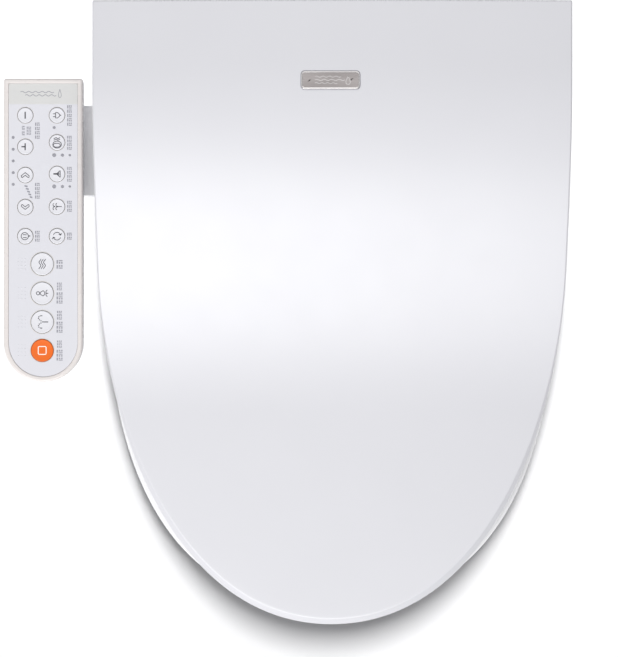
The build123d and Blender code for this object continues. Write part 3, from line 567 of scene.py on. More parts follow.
def dress(nodes: Iterable[str], finish: Finish) -> None:
    """Give CAD nodes that keep their own shape a finish."""
    for node in nodes:
        part = frame["nodes"][node]
        for place in part.material_slots:
            place.material = finish.build()
        LOG.info("%s: dressed in %s", node, finish.name)


@dataclass(frozen=True)
class Outline:
    """A D-shaped plan: a straight rear, straight sides and one curve each side round the nose.

    Attributes:
        half: half the width.
        rear: Y of the rear edge.
        nose: Y where the nose curve starts.
        front: Y of the front.
        fullness: how far the sides run on into the curve.
        shoulder: how square the front is.
        corner: radius of the rear corners.
    """

    half: float
    rear: float
    nose: float
    front: float
    fullness: float
    shoulder: float
    corner: float

    def right_side(self) -> list[tuple[Point2, Point2]]:
        """Points from the rear middle round the right side to the front, each with its outward direction."""
        spots: list[tuple[Point2, Point2]] = []
        edge = self.half - self.corner
        for i in range(27):
            spots.append(((edge * i / 27, self.rear), (0.0, 1.0)))
        for i in range(7):
            turn = math.radians(90 - 15 * i)
            away = (math.cos(turn), math.sin(turn))
            here = (edge + self.corner * away[0], self.rear - self.corner + self.corner * away[1])
            spots.append((here, away))
        start = self.rear - self.corner
        for i in range(1, 37):
            spots.append(((self.half, start + (self.nose - start) * i / 36), (1.0, 0.0)))
        run = self.nose - self.front
        curve = ((self.half, self.nose), (self.half, self.nose - self.fullness * run),
                 (self.shoulder * self.half, self.front), (0.0, self.front))
        for i in range(1, 73):
            here = bezier(curve, i / 72)
            before, after = bezier(curve, i / 72 - 0.004), bezier(curve, min(1.0, i / 72 + 0.004))
            along = (after[0] - before[0], after[1] - before[1])
            size = math.hypot(*along)
            spots.append((here, (-along[1] / size, along[0] / size)))
        spots[-1] = ((0.0, self.front), (0.0, -1.0))
        return spots

    def ring(self, inset: float | Callable[[Point2], float]) -> list[Point2]:
        """The whole outline drawn in by inset, which may depend on the place along it.

        Args:
            inset: a distance, or a function that gives it for a point of the outline.

        Returns:
            The points, from the rear middle clockwise as seen from above.
        """
        right = []
        for (x, y), (nx, ny) in self.right_side():
            step = inset((x, y)) if callable(inset) else inset
            px, py = x - nx * step, y - ny * step
            if step > self.corner and y > self.nose:
                px, py = min(px, self.half - step), min(py, self.rear - step)
            elif y > self.nose and y < self.rear - 1e-6 and abs(nx) > 0.999:
                py = min(py, self.rear - step)
            if y > self.rear - 1e-6:
                px = min(px, self.half - max(step, self.corner))
            right.append((max(px, 0.0), py))
        left = [(-x, y) for x, y in reversed(right[1:-1])]
        return right + left


@dataclass
class Lid:
    """The full-cover lid: a thin shell, high over the housing, falling in an S to a low front."""

    wall: float = 2.8
    level_y: float = 20.0
    foot_y: float = -260.0
    foot_z: float = 72.0
    front_z: float = 62.0
    lead: float = 110.0
    crown: float = 4.2
    rim_slope: float = 0.95
    crease: float = 0.012
    skirt_z: float = 46.0
    rear_skirt_z: float = 73.0
    lip: float = 4.0
    nose_y: float = -141.0
    fullness: float = 0.44
    shoulder: float = 0.68
    corner: float = 1.6
    middle_y: float = -160.0
    posts: tuple[Point2, ...] = ((146.0, -205.0), (86.0, -392.0))
    box: Box = field(default_factory=lambda: Box.of("lid_shell"))

    def __post_init__(self) -> None:
        """Work out the outline and the side curve from the CAD shell's box."""
        self.outline = Outline(self.box.x1, self.box.y1, self.nose_y, self.box.y0,
                               self.fullness, self.shoulder, self.corner)
        self.slope = (self.foot_z - self.front_z) / (self.foot_y - self.box.y0)
        self.curve = ((self.level_y, self.box.z1), (self.level_y - self.lead, self.box.z1),
                      (self.foot_y + self.lead, self.foot_z + self.slope * self.lead),
                      (self.foot_y, self.foot_z))

    def side_height(self, y: float) -> float:
        """Height of the top along the middle."""
        if y >= self.level_y:
            return self.box.z1
        if y <= self.foot_y:
            return self.foot_z + self.slope * (y - self.foot_y)
        low, high = 0.0, 1.0
        for _ in range(30):
            middle = (low + high) / 2
            if bezier(self.curve, middle)[0] > y:
                low = middle
            else:
                high = middle
        return bezier(self.curve, low)[1]

    def top(self, x: float, y: float) -> float:
        """Height of the top, lower towards the sides."""
        across = x / self.outline.half
        return self.side_height(y) - self.crown * across * across * (1 - 0.35 * smooth(-y, 150, 420))

    def rim(self, spot: Point2) -> float:
        """Width of the sloping rim at a place on the outline: wide at the front, narrow along the sides."""
        return 1.3 + 3.9 * smooth(-spot[1], 170, 415)

    def rim_row(self, share: float) -> list[Point3]:
        """A row of the rim; share is 0 at the outer edge and 1 at the crease."""
        widths = [self.rim(p) for p in self.outline.ring(0.0)]
        plan = self.outline.ring(lambda p: self.rim(p) * share)
        rise = 1 - share
        bend = (math.sqrt(rise * rise + self.crease) + rise) / 2
        return [(x, y, self.top(x, y) - self.rim_slope * w * bend - self.edge_round(w * share))
                for (x, y), w in zip(plan, widths)]

    def edge_round(self, inset: float) -> float:
        """Drop of the small rounding between the rim and the wall."""
        radius = 0.9
        if inset >= radius:
            return 0.0
        return radius - math.sqrt(radius * radius - (radius - inset) ** 2)

    def skirt(self, x: float, y: float) -> float:
        """Height of the wall's lower edge."""
        if y > self.outline.rear - 4.2 and abs(x) < self.outline.half - self.wall - 0.6:
            return self.box.z1 - self.wall - self.lip
        return self.skirt_z + (self.rear_skirt_z - self.skirt_z) * max(0.0, min(1.0, (y + 76) / 20))

    def inner_plan(self, inset: float, share: float) -> list[Point2]:
        """A ring drawn in by inset and then shrunk by share towards the middle of the lid."""
        middle = self.middle_y
        return [(x * share, middle + (y - middle) * share) for x, y in self.outline.ring(inset)]

    def shell(self) -> Draft:
        """Draw the lid: top, rim, wall, lower edge, and the inside back to the middle."""
        rows: list[list[Point3]] = []
        spread = 34
        start = 9.5
        for i in range(spread + 1):
            plan = self.inner_plan(start, (i / spread) ** 0.92)
            rows.append([(x, y, self.top(x, y)) for x, y in plan])
        for share in (1.6, 1.4, 1.25, 1.15, 1.08, 1.03, 0.98, 0.93, 0.86,
                      0.76, 0.6, 0.4, 0.25, 0.17, 0.1, 0.04, 0.0):
            rows.append(self.rim_row(share))
        rim = rows[-1]
        for share in (0.03, 0.12, 0.35, 0.65, 0.9, 0.98):
            rows.append([(x, y, z + (self.skirt(x, y) + 0.5 - z) * share) for x, y, z in rim])
        for inset, rise in ((0.0, 0.5), (0.15, 0.15), (0.5, 0.0), (self.wall - 0.5, 0.0),
                            (self.wall - 0.15, 0.15), (self.wall, 0.5)):
            plan = self.outline.ring(inset)
            rows.append([(x, y, self.skirt(*p) + rise) for (x, y), p in zip(plan, self.outline.ring(0.0))])
        low = rows[-1]
        ceiling = [(x, y, self.top(x, y) - self.wall - self.rim(p) * 1.1)
                   for (x, y), p in zip(self.outline.ring(self.wall), self.outline.ring(0.0))]
        for share in (0.1, 0.5, 0.9, 1.0):
            rows.append([(a[0], a[1], a[2] + (max(b[2], a[2]) - a[2]) * share) for a, b in zip(low, ceiling)])
        for past, drop in ((0.6, 2.6), (2.6, 0.9), (5, 0.2), (8, 0.0)):
            rows.append([(x, y, self.top(x, y) - self.wall - drop)
                         for x, y in self.outline.ring(self.wall + past)])
        for i in range(spread, -1, -1):
            plan = self.inner_plan(start + 4, (i / spread) ** 0.92)
            rows.append([(x, y, self.top(x, y) - self.wall) for x, y in plan])
        return Draft().grid(rows)

    def fittings(self) -> Draft:
        """Draw the posts that carry the bumpers, with their webs, and the two hinge bosses."""
        draft = Draft()
        bottom = self.skirt_z + 3
        for x, y in self.posts:
            for side in (-1, 1):
                roof = self.top(x, y) - self.wall + 0.4
                profile = [(0, bottom), (4.6, bottom), (5.0, bottom + 0.4), (5.2, roof - 2),
                           (7.0, roof), (0, roof)]
                draft.lathe(profile, (side * x, y, 0.0))
                for turn in range(4):
                    angle = math.radians(45 + 90 * turn)
                    web = [(side * x + r * math.cos(angle) + w * math.sin(angle),
                            y + r * math.sin(angle) - w * math.cos(angle))
                           for r, w in ((4.0, -0.7), (9.5, -0.7), (9.5, 0.7), (4.0, 0.7))]
                    draft.prism(web, roof - 7, min(roof, self.top(side * x, y - 9.5) - self.wall + 0.3))
        inside = self.outline.half - self.wall
        y, z = HINGE_LINE
        for side in (-1, 1):
            reach = ((5.3, 184.5), (9.6, 184.5), (10.4, 184.9), (10.8, 185.6),
                     (10.8, inside + 0.2), (5.3, inside + 0.2))
            draft.lathe([(r, side * x) for r, x in reach], (0.0, y, z), "X")
        for x in (-120.0, -40.0, 40.0, 120.0):
            low = self.box.z1 - self.wall - self.crown * (x / self.outline.half) ** 2
            strip = [(x - 0.8, 4.0), (x + 0.8, 4.0), (x + 0.8, 70.0), (x - 0.8, 70.0)]
            draft.prism(strip, low - 1.3, low + 0.3)
        return draft

    def bumpers(self) -> Draft:
        """Draw the four rubber pads under the posts."""
        draft = Draft()
        box = Box.of("lid_bumpers")
        profile = [(0, box.z0), (4.6, box.z0), (5.8, box.z0 + 0.5), (6.4, box.z0 + 1.6), (6.4, box.z1 - 0.5),
                   (6.0, box.z1), (0, box.z1)]
        for x, y in self.posts:
            for side in (-1, 1):
                draft.lathe(profile, (side * x, y, 0.0))
        return draft

    def build(self) -> None:
        """Make the lid's pieces."""
        self.shell().make("lid", LID_WHITE_WITH_PAINTED_SHADE, "lid", ("lid_shell",), crease=48.0)
        self.fittings().make("lid_fittings", LID_WHITE_WITH_PAINTED_SHADE, "lid", slot="lid_white")
        self.bumpers().make("lid_pads", RUBBER, "lid", ("lid_bumpers",))
        dress(["lid_hinge_pin"], STEEL)


@dataclass
class Badge:
    """The small metal plate on the lid, with a plain drop-and-waves mark."""

    box: Box = field(default_factory=lambda: Box.of("lid_badge"))

    def plate_row(self, inset: float, z: float) -> list[Point3]:
        """One contour of the plate."""
        width, height = self.box.x1 - self.box.x0, self.box.y1 - self.box.y0
        x, y, _ = self.box.centre
        plan = rounded_plate(width - 2 * inset, height - 2 * inset, max(3.0 - inset, 0.6))
        return [(x + a, y + b, z) for a, b in plan]

    def build(self) -> None:
        """Make the recess line, dark grey as painted shade, the plate, its bright rim and the mark."""
        x, y, _ = self.box.centre
        top = self.box.z1
        floor = top - 0.3
        # The thin ring round the plate is drawn in dark grey print ink: painted shade in the recess between
        # the plate and the lid.
        shade_line = [self.plate_row(-0.45, floor - 0.3), self.plate_row(-0.45, floor + 0.02),
               self.plate_row(0.3, floor + 0.02)]
        Draft().grid(shade_line).make("badge_recess_painted_shade", INK_MID, "lid", slot="badge_metal")
        contours = ((0.0, floor - 0.4), (0.0, top - 0.16), (0.12, top - 0.05), (0.35, top), (0.9, top),
                    (1.15, top - 0.1), (1.3, top - 0.13))
        rim = Draft().grid([self.plate_row(*c) for c in contours])
        rim.make("badge_rim", BADGE_RIM, "lid", ("lid_badge",), crease=60.0)
        field_rows = [self.plate_row(inset, top - 0.13) for inset in (1.25, 3.0, 5.0, 7.3)]
        field_rows.append([(px, y, top - 0.13) for px, _, _ in field_rows[-1]])
        Draft().grid(field_rows).make("badge_field", BADGE_METAL, "lid", slot="badge_metal")
        drop = drop_line((x + 14.2, y - 0.3), 2.5, 3.3)
        mark = Draft().stroke(drop, 0.55, top - 0.2, top - 0.03, loop=True)
        for row, length in enumerate((21.0, 24.0, 18.0)):
            wave = [(x - 12.5 + length * i / 48, y + 2.6 - 2.6 * row + 0.55 * math.sin(math.tau * i / 12))
                    for i in range(49)]
            mark.stroke(wave, 0.5, top - 0.2, top - 0.03)
        mark.make("badge_mark", BADGE_RIM, "lid", slot="badge_metal")


@dataclass
class SeatRing:
    """The heated ring: contoured upper shell, flat lower shell and two long arms to the hinge line."""

    nose_y: float = -150.0
    fullness: float = 0.86
    shoulder: float = 0.40
    corner: float = 9.0
    edge_radius: float = 7.0
    under_radius: float = 3.0
    hole_y: float = -236.0
    hole_half_length: float = 142.0
    hole_half_width: float = 104.0
    upper: Box = field(default_factory=lambda: Box.of("seat_upper_shell"))
    lower: Box = field(default_factory=lambda: Box.of("seat_lower_shell"))
    arm_x: tuple[float, float] = (170.0, 182.0)
    feet: tuple[Point2, ...] = ((156.0, -130.0), (88.0, -390.0))

    def __post_init__(self) -> None:
        """Work out the outline from the CAD shell's box."""
        self.outline = Outline(self.upper.x1, self.upper.y1, self.nose_y, self.upper.y0,
                               self.fullness, self.shoulder, self.corner)
        self.outer = self.outline.ring(0.0)
        self.inner = [self.hole_spot(p) for p in self.outer]
        self.out = self.outward()

    def hole_spot(self, spot: Point2) -> Point2:
        """The point of the hole's edge that faces a point of the outline."""
        turn = math.atan2((spot[1] - self.hole_y) / self.hole_half_length, spot[0] / self.hole_half_width)
        return (self.hole_half_width * math.cos(turn), self.hole_y + self.hole_half_length * math.sin(turn))

    def outward(self) -> list[Point2]:
        """The direction from the hole's edge to the outline at each place."""
        result = []
        for (ox, oy), (ix, iy) in zip(self.outer, self.inner):
            size = math.hypot(ox - ix, oy - iy)
            result.append(((ox - ix) / size, (oy - iy) / size))
        return result

    def row(self, share: float, inset: float, height: Callable[[float, float], float]) -> list[Point3]:
        """A row round the ring: share 0 is the outline and 1 the hole, moved inwards by inset."""
        sign = 1 if share < 0.5 else -1
        rows = []
        for (ox, oy), (ix, iy), (nx, ny) in zip(self.outer, self.inner, self.out):
            x = ox + (ix - ox) * share - sign * nx * inset
            y = oy + (iy - oy) * share - sign * ny * inset
            rows.append((x, y, height(x, y)))
        return rows

    def build_upper(self) -> None:
        """Make the upper shell: rounded outside, dished towards the hole."""
        z0, z1 = self.upper.z0 + 0.25, self.upper.z1
        radius = self.edge_radius
        rows = []
        for turn in range(0, 91, 10):
            angle = math.radians(turn)
            inset, rise = radius * (1 - math.cos(angle)), radius * math.sin(angle)
            rows.append(self.row(0.0, inset, lambda x, y, r=rise: z1 - radius + r))
        for share in (0.25, 0.4, 0.5, 0.6, 0.72, 0.82):
            dish = 4.2 * smooth(share, 0.2, 1.0)
            rows.append(self.row(share, 0.0, lambda x, y, d=dish: z1 - d))
        low = z1 - 4.6
        for turn in range(90, -1, -10):
            angle = math.radians(turn)
            inset, rise = 8.0 * (1 - math.cos(angle)), 6.0 * math.sin(angle)
            rows.append(self.row(1.0, inset, lambda x, y, r=rise: low - 6.0 + r))
        rows.append(self.row(1.0, 0.0, lambda x, y: z0 + 0.4))
        rows.append(self.row(1.0, 0.4, lambda x, y: z0))
        rows.append(self.row(0.0, 0.4, lambda x, y: z0))
        rows.append(self.row(0.0, 0.0, lambda x, y: z0 + 0.4))
        shell = Draft().grid(rows, closed=True)
        shell.make("seat_top", SEAT_WHITE, "seat", ("seat_upper_shell",), crease=50.0)

    def notch(self, x: float, y: float) -> float:
        """How far the underside is raised over the nozzles."""
        return 8.5 * (1 - smooth(abs(x), 18.5, 23.5)) * smooth(y, -80.0, -76.5)

    def build_lower(self) -> None:
        """Make the lower shell with its underside groove."""
        z0, z1 = self.lower.z0, self.upper.z0 - 0.35
        radius = self.under_radius
        rows = [self.row(0.0, 0.4, lambda x, y: z1), self.row(0.0, 0.0, lambda x, y: z1 - 0.4)]
        for turn in range(0, 91, 15):
            angle = math.radians(turn)
            inset, drop = radius * (1 - math.cos(angle)), radius * math.sin(angle)
            rows.append(self.row(0.0, inset, lambda x, y, d=drop: z0 + radius - d + self.notch(x, y)))
        for share, deep in ((0.16, 0.0), (0.165, 1.2), (0.185, 1.2), (0.19, 0.0), (0.45, 0.0),
                            (0.8, 0.0), (0.805, 1.2), (0.825, 1.2), (0.83, 0.0)):
            rows.append(self.row(share, 0.0, lambda x, y, d=deep: z0 + d + self.notch(x, y)))
        for turn in range(90, -1, -15):
            angle = math.radians(turn)
            inset, drop = radius * (1 - math.cos(angle)), radius * math.sin(angle)
            rows.append(self.row(1.0, inset, lambda x, y, d=drop: z0 + radius - d + self.notch(x, y)))
        rows.append(self.row(1.0, 0.0, lambda x, y: z1 - 0.4))
        rows.append(self.row(1.0, 0.4, lambda x, y: z1))
        shell = Draft().grid(rows, closed=True)
        shell.make("seat_underside", SEAT_WHITE, "seat", ("seat_lower_shell",), crease=50.0)

    def build_arms(self) -> None:
        """Make the two arms from the ring's rear edge up to the hinge line."""
        y, z = HINGE_LINE
        x0, x1 = self.arm_x
        start = self.upper.y1 + 0.3
        tilt = math.degrees(math.atan2(z - 8.5 - 19, y + 7 - start))
        outline = [(start - 9, 19.5), (start, 19.0)]
        outline += arc((y, z), 11.0, tilt - 90, tilt + 90, 18)
        outline += arc((start + 9, 58.0), 9.0, tilt + 90, 180, 5)
        outline += [(start, 30.0), (start, 29.6), (start - 9, 29.6)]
        ease = ((x0, 0.9), (x0 + 0.25, 0.3), (x0 + 0.9, 0.0), (x1 - 0.9, 0.0), (x1 - 0.25, 0.3), (x1, 0.9))
        count = len(outline)
        mid_y, mid_z = sum(p[0] for p in outline) / count, sum(p[1] for p in outline) / count
        for side, name in ((-1, "seat_arm_left"), (1, "seat_arm_right")):
            rows = []
            for x, inset in ease:
                row = []
                for py, pz in outline:
                    pull = inset / math.hypot(py - mid_y, pz - mid_z)
                    row.append((side * x, py - (py - mid_y) * pull, pz - (pz - mid_z) * pull))
                rows.append(row)
            draft = Draft().grid(rows)
            draft.faces.append(tuple(range(count)))
            draft.faces.append(tuple(range(5 * count, 6 * count)))
            draft.make(name, SEAT_WHITE, "seat", slot="seat_white")

    def build_bumpers(self) -> None:
        """Make the four rubber feet of the ring."""
        draft = Draft()
        box = Box.of("seat_bumpers")
        profile = [(0, box.z0), (6.5, box.z0), (8.2, box.z0 + 0.8), (8.8, box.z0 + 2.4), (8.4, 10.0),
                   (8.8, 16.0), (9.0, 17.4), (9.0, box.z1 + 0.2), (0, box.z1 + 0.2)]
        for x, y in self.feet:
            for side in (-1, 1):
                draft.lathe(profile, (side * x, y, 0.0))
        draft.make("seat_feet", RUBBER, "seat", ("seat_bumpers",))

    def build(self) -> None:
        """Make the seat's pieces."""
        self.build_upper()
        self.build_lower()
        self.build_arms()
        self.build_bumpers()
        dress(["seat_heater"], FOIL)
        dress(["seat_hinge_pin"], STEEL)


# ---------------------------------------------------------------- control panel


class Key(Enum):
    """The keys by their CAD names, each of which is also a body."""

    MINUS = "key_minus"
    PLUS = "key_plus"
    NOZZLE_BACK = "key_nozzle_back"
    NOZZLE_FORWARD = "key_nozzle_forward"
    CHILD = "key_child"
    ENERGY = "key_energy"
    SEAT_TEMP = "key_seat_temp"
    WATER_TEMP = "key_water_temp"
    MASSAGE = "key_massage"
    MOVE = "key_move"
    DRY = "key_dry"
    BIDET = "key_bidet"
    WASH = "key_wash"
    STOP = "key_stop"

    def lines(self) -> list[Line]:
        """The plain picture on the key, as lines in millimetres about its middle, X to the right and Y up."""
        return getattr(self, "draw_" + self.name.lower())()

    def draw_minus(self) -> list[Line]:
        """A bar."""
        return [bar((-2.9, 0.3), (2.9, 0.3)), bar((-2.9, -0.1), (2.9, -0.1))]

    def draw_plus(self) -> list[Line]:
        """A cross."""
        return self.draw_minus() + [bar((-0.2, -0.3), (-0.2, 3.2)), bar((0.2, -0.3), (0.2, 3.2))]

    def draw_nozzle_back(self) -> list[Line]:
        """A hollow arrowhead to the rear."""
        head = [(-1.9, -3.1), (-0.6, -3.3), (2.0, 0.0), (-0.6, 3.3), (-1.9, 3.1), (-2.1, 2.4),
                (-0.2, 0.0), (-2.1, -2.4)]
        return [(dense(head, True), True)]

    def draw_nozzle_forward(self) -> list[Line]:
        """A hollow arrowhead to the front."""
        return [([(-x, y) for x, y in line], loop) for line, loop in self.draw_nozzle_back()]

    def draw_child(self) -> list[Line]:
        """A round head on a stem, with two bars in it."""
        stem = [bar((x, -2.6), (x, -4.2)) for x in (0, 0.3)]
        bars = [bar((x, -1.2), (x, 1.9)) for x in (-1.2, 1.2)]
        return [circle(0, 0.4, 3.0)] + stem + bars

    def draw_energy(self) -> list[Line]:
        """A mains plug with two pins."""
        body = [(-2.3, 1.2), (2.3, 1.2), (2.3, -0.4), (1.1, -1.9), (0.3, -2.3), (0, -3.4),
                (-0.3, -2.3), (-1.1, -1.9), (-2.3, -0.4)]
        pins = [bar((x, 1.4), (x, 3.4)) for x in (-1.2, 1.2)]
        return [(dense(body, True), True)] + pins

    def draw_seat_temp(self) -> list[Line]:
        """A seat ring under two warm waves."""
        turns = [math.tau * i / 40 for i in range(40)]
        ring = [(-2.4 + 1.62 * math.cos(t), 0.2 + 3.0 * math.sin(t)) for t in turns]
        outer = [(-1.9 + 2.9 * math.cos(t), -0.1 + 3.6 * math.sin(t)) for t in turns]
        along = [-2.6 + 0.3 * i for i in range(19)]
        waves = [([(2.2 + k + 0.35 * math.sin(1.9 * b), b) for b in along], False) for k in (0.0, 1.3)]
        return [(ring, True), (outer, True)] + waves

    def draw_water_temp(self) -> list[Line]:
        """A jet that opens into a funnel."""
        arms = []
        for side in (-1, 1):
            arms.append((dense([(side * 0.25, 3.0), (side * 0.35, 0.0), (side * 2.7, -2.4)]), False))
        levels = [bar((-half, y), (half, y)) for half, y in ((2.9, -2.7), (1.4, -1.6), (0.6, -0.9))]
        return arms + [bar((0, 3.0), (0, -1.0))] + levels

    def draw_massage(self) -> list[Line]:
        """A fountain with two curls on each side."""
        curls = [bar((0, -4.0), (0, 0.4))]
        for side in (-1, 1):
            for low, reach in ((-1.6, 3.0), (0.8, 2.5)):
                turn = arc((1.5, low + 1.2), 1.35, 200, 20, 14)
                curls.append(([(side * min(reach, x), y) for x, y in turn], False))
        return curls

    def draw_move(self) -> list[Line]:
        """Two arrows chasing round a circle."""
        lines: list[Line] = []
        for start in (70, 250):
            sweep = arc((0, 0), 3.2, start, start - 140, 24)
            lines.append((sweep, False))
            x, y = sweep[-1]
            out, tip = math.radians(start - 140), math.radians(start - 230)
            point = (x + 0.3 * math.cos(tip), y + 0.3 * math.sin(tip))
            for wing in (-1.3, 1.3):
                barb = (x + wing * math.cos(out) - math.cos(tip), y + wing * math.sin(out) - math.sin(tip))
                lines.append(bar(point, barb))
        return lines

    def draw_dry(self) -> list[Line]:
        """Three warm waves."""
        along = [-4.2 + 0.3 * i for i in range(29)]
        return [([(a, k + 0.75 * math.sin(1.15 * a)) for a in along], False) for k in (-1.9, 0.0, 1.9)]

    def draw_bidet(self) -> list[Line]:
        """A seated figure over a spray."""
        body = [(-0.8, 1.6), (0.8, 1.6), (2.2, -0.8), (1.2, -1.9), (0, -2.2), (-1.2, -1.9), (-2.2, -0.8)]
        rays = [bar((1.1 * side, -2.9), (2.9 * side, -4.2), step=0.3) for side in (-1, 1)]
        rays += [bar((0, -2.9), (0, -5.2)), (dense([(-0.9, -3.0), (0, -3.6), (0.9, -3.0)]), False)]
        return [circle(0, 3.5, 1.35), (dense(body, True), True)] + rays

    def draw_wash(self) -> list[Line]:
        """A dotted fountain with one curl on each side."""
        spots = [(0.0, -4.6 + 1.05 * i) for i in range(5)]
        curl = ((0.9, 1.0), (1.8, 2.3), (3.0, 3.1), (4.3, 2.8), (5.1, 1.6), (5.2, 0.4))
        for side in (-1, 1):
            spots += [(side * x, y) for x, y in curl]
        return [(arc(spot, 0.22, 0, 315, 7), True) for spot in spots]

    def draw_stop(self) -> list[Line]:
        """A square with round corners."""
        return [(rounded_plate(6.6, 6.6, 1.1), True)]


@dataclass(frozen=True)
class Label:
    """A printed label's place along the panel, in millimetres, and how many plain blocks stand for it."""

    front: float
    rear: float
    count: int


@dataclass
class ControlPanel:
    """The side panel: case, cream bezel, face plate, fourteen keys, lamps and plain printed marks."""

    bezel: Box = field(default_factory=lambda: Box.of("panel_bezel"))
    case: Box = field(default_factory=lambda: Box.of("panel_case"))
    face: Box = field(default_factory=lambda: Box.of("panel_face"))
    corner: float = 2.2
    rim_width: float = 4.2
    print_height: float = 0.05
    big_radius: float = 9.0
    label_right: tuple[Label, ...] = (Label(-20.6, -2.4, 5), Label(-40.6, -28.2, 4), Label(-67.4, -54.2, 4),
                                      Label(-92.6, -82.6, 3), Label(-116.0, -109.4, 2))
    label_left: tuple[Label, ...] = (Label(-31.4, -17.0, 4), Label(-81.6, -67.6, 4), Label(-117.6, -107.8, 3))
    label_large: tuple[Label, ...] = (Label(-140.4, -132.2, 2), Label(-169.6, -159.4, 3),
                                      Label(-194.0, -184.0, 3), Label(-217.4, -207.6, 3))
    label_small: tuple[Label, ...] = (Label(-158.4, -151.4, 3), Label(-183.0, -175.0, 3),
                                      Label(-206.6, -200.0, 3))
    block: tuple[tuple[float, float, float, float], ...] = (
        (0.08, 0.82, 0.0, 0.24), (0.08, 0.3, 0.36, 1.0), (0.44, 0.82, 0.38, 0.62), (0.44, 0.82, 0.76, 1.0))
    dot_columns: Point3 = (-262.6, -259.8, -257.0)

    def __post_init__(self) -> None:
        """Work out the plan from the bezel's box."""
        self.half = (self.bezel.x1 - self.bezel.x0) / 2
        self.middle = self.bezel.centre[0]
        self.round_y = self.bezel.y0 + self.half

    def contour(self, inset: float, z: float) -> list[Point3]:
        """One contour of the panel: straight rear, round front."""
        half, rear = self.half - inset, self.bezel.y1 - inset
        turn = max(self.corner - inset, min(0.6, half / 2))
        steps = 24
        plan = arc((self.middle + half - turn, rear - turn), turn, 0, 90, 8)
        plan += arc((self.middle - half + turn, rear - turn), turn, 90, 180, 8)
        run = rear - turn - self.round_y
        plan += [(self.middle - half, rear - turn - run * i / steps) for i in range(1, steps)]
        plan += arc((self.middle, self.round_y), half, 180, 360, 56)
        plan += [(self.middle + half, self.round_y + run * i / steps) for i in range(1, steps)]
        return [(x, y, z) for x, y in plan]

    def build_bezel(self) -> None:
        """Make the cream frame round the face."""
        top, low, face = self.bezel.z1, self.bezel.z0, self.face.z1
        width = self.rim_width
        steps = [(0.5, low + 0.25), (0.12, low + 0.4), (0.0, low + 0.8), (0.0, top - 2.4)]
        steps += [(2.0 - 2.0 * math.cos(t), top - 2.0 + 2.0 * math.sin(t) - 0.02) for t in
                  (math.radians(10 * i) for i in range(1, 10))]
        steps += [(width - 0.8, top - 0.04), (width - 0.35, top - 0.1), (width - 0.1, top - 0.28),
                  (width, face - 0.06), (width, face - 1.5), (width + 1.9, face - 1.8),
                  (width + 1.9, face - 3.0), (2.2, face - 3.0), (2.2, low + 0.25)]
        rows = [self.contour(*step) for step in steps]
        Draft().grid(rows, closed=True).make("panel_rim", BEZEL_CREAM, "base", ("panel_bezel",), crease=46.0)

    def build_case(self) -> None:
        """Make the case under the bezel, a bowl with a dark line where they meet."""
        top, low = self.case.z1, self.case.z0
        outside = [(0.8, top), (0.8, low + 3.0), (1.1, low + 1.7), (1.9, low + 0.7), (3.0, low + 0.15)]
        outside += [(4.2, low), (8.0, low), (8.1, low + 0.5), (8.9, low + 0.5), (9.0, low)]
        floor = [(inset, low) for inset in (14.0, 20.0, 26.0, 30.0, self.half - 0.3)]
        inside = [(inset, low + 2.0) for inset in (self.half - 0.3, 26.0, 18.0, 10.0, 4.4)]
        inside += [(3.4, low + 2.4), (2.8, low + 3.4), (2.8, top)]
        rows = [self.contour(*step) for step in outside + floor]
        rows[-1] = self.spine(low)
        inner = [self.contour(*step) for step in inside]
        inner[0] = self.spine(low + 2.0)
        shell = Draft().grid(rows).grid(inner).grid([self.contour(2.8, top), self.contour(0.8, top)])
        shell.make("panel_back", CASE_WHITE, "base", ("panel_case",), crease=46.0)

    def spine(self, z: float) -> list[Point3]:
        """The middle line that the contours shrink to."""
        return [(self.middle, min(max(y, self.round_y), self.bezel.y1 - self.half), z)
                for _, y, _ in self.contour(self.half - 0.6, z)]

    def build_keys(self) -> None:
        """Make each key with its picture, and the ring printed round it."""
        small, large = Draft(), Draft()
        height = self.face.z1
        for key in Key:
            box = Box.of(key.value)
            x, y, _ = box.centre
            radius = (box.x1 - box.x0) / 2 - 1.0
            stop = key is Key.STOP
            top = box.z1
            profile = [(0, box.z0), (radius + 0.9, box.z0), (radius + 0.9, box.z0 + 1.1),
                       (radius, box.z0 + 1.1), (radius, top - 0.55), (radius - 0.08, top - 0.3),
                       (radius - 0.25, top - 0.1),
                       (radius - 0.5, top), (radius - 0.85, top - 0.02), (radius - 1.3, top - 0.12),
                       (radius * 0.5, top - 0.15), (0, top - 0.15)]
            cap = Draft().lathe(profile, (x, y, 0.0), steps=64)
            finish = KEY_ORANGE if stop else KEY_WHITE
            cap.make(key.value + "_cap", finish, key.value, (key.value,), crease=70.0)
            picture = Draft()
            width = 0.75 if stop else 0.6
            for line, loop in key.lines():
                picture.stroke([(x - b, y + a) for a, b in line], width, top - 0.4, top - 0.1, loop)
            ink = INK_WHITE if stop else INK_DARK
            slot = "key_orange" if stop else "key_white"
            picture.make(key.value + "_mark", ink, key.value, slot=slot)
            ring = [(radius + 0.36, height - 0.2), (radius + 0.36, height + self.print_height)]
            if radius > self.big_radius:
                ring += [(radius + 1.0, height + self.print_height), (radius + 1.0, height - 0.2)]
                large.lathe(ring, (x, y, 0.0), steps=64)
            else:
                ring += [(radius + 0.75, height + self.print_height), (radius + 0.75, height - 0.2)]
                small.lathe(ring, (x, y, 0.0), steps=64)
        small.make("small_key_rings", INK_PALE, "base", slot="face_lavender")
        large.make("large_key_rings", INK_RING, "base", slot="face_lavender")

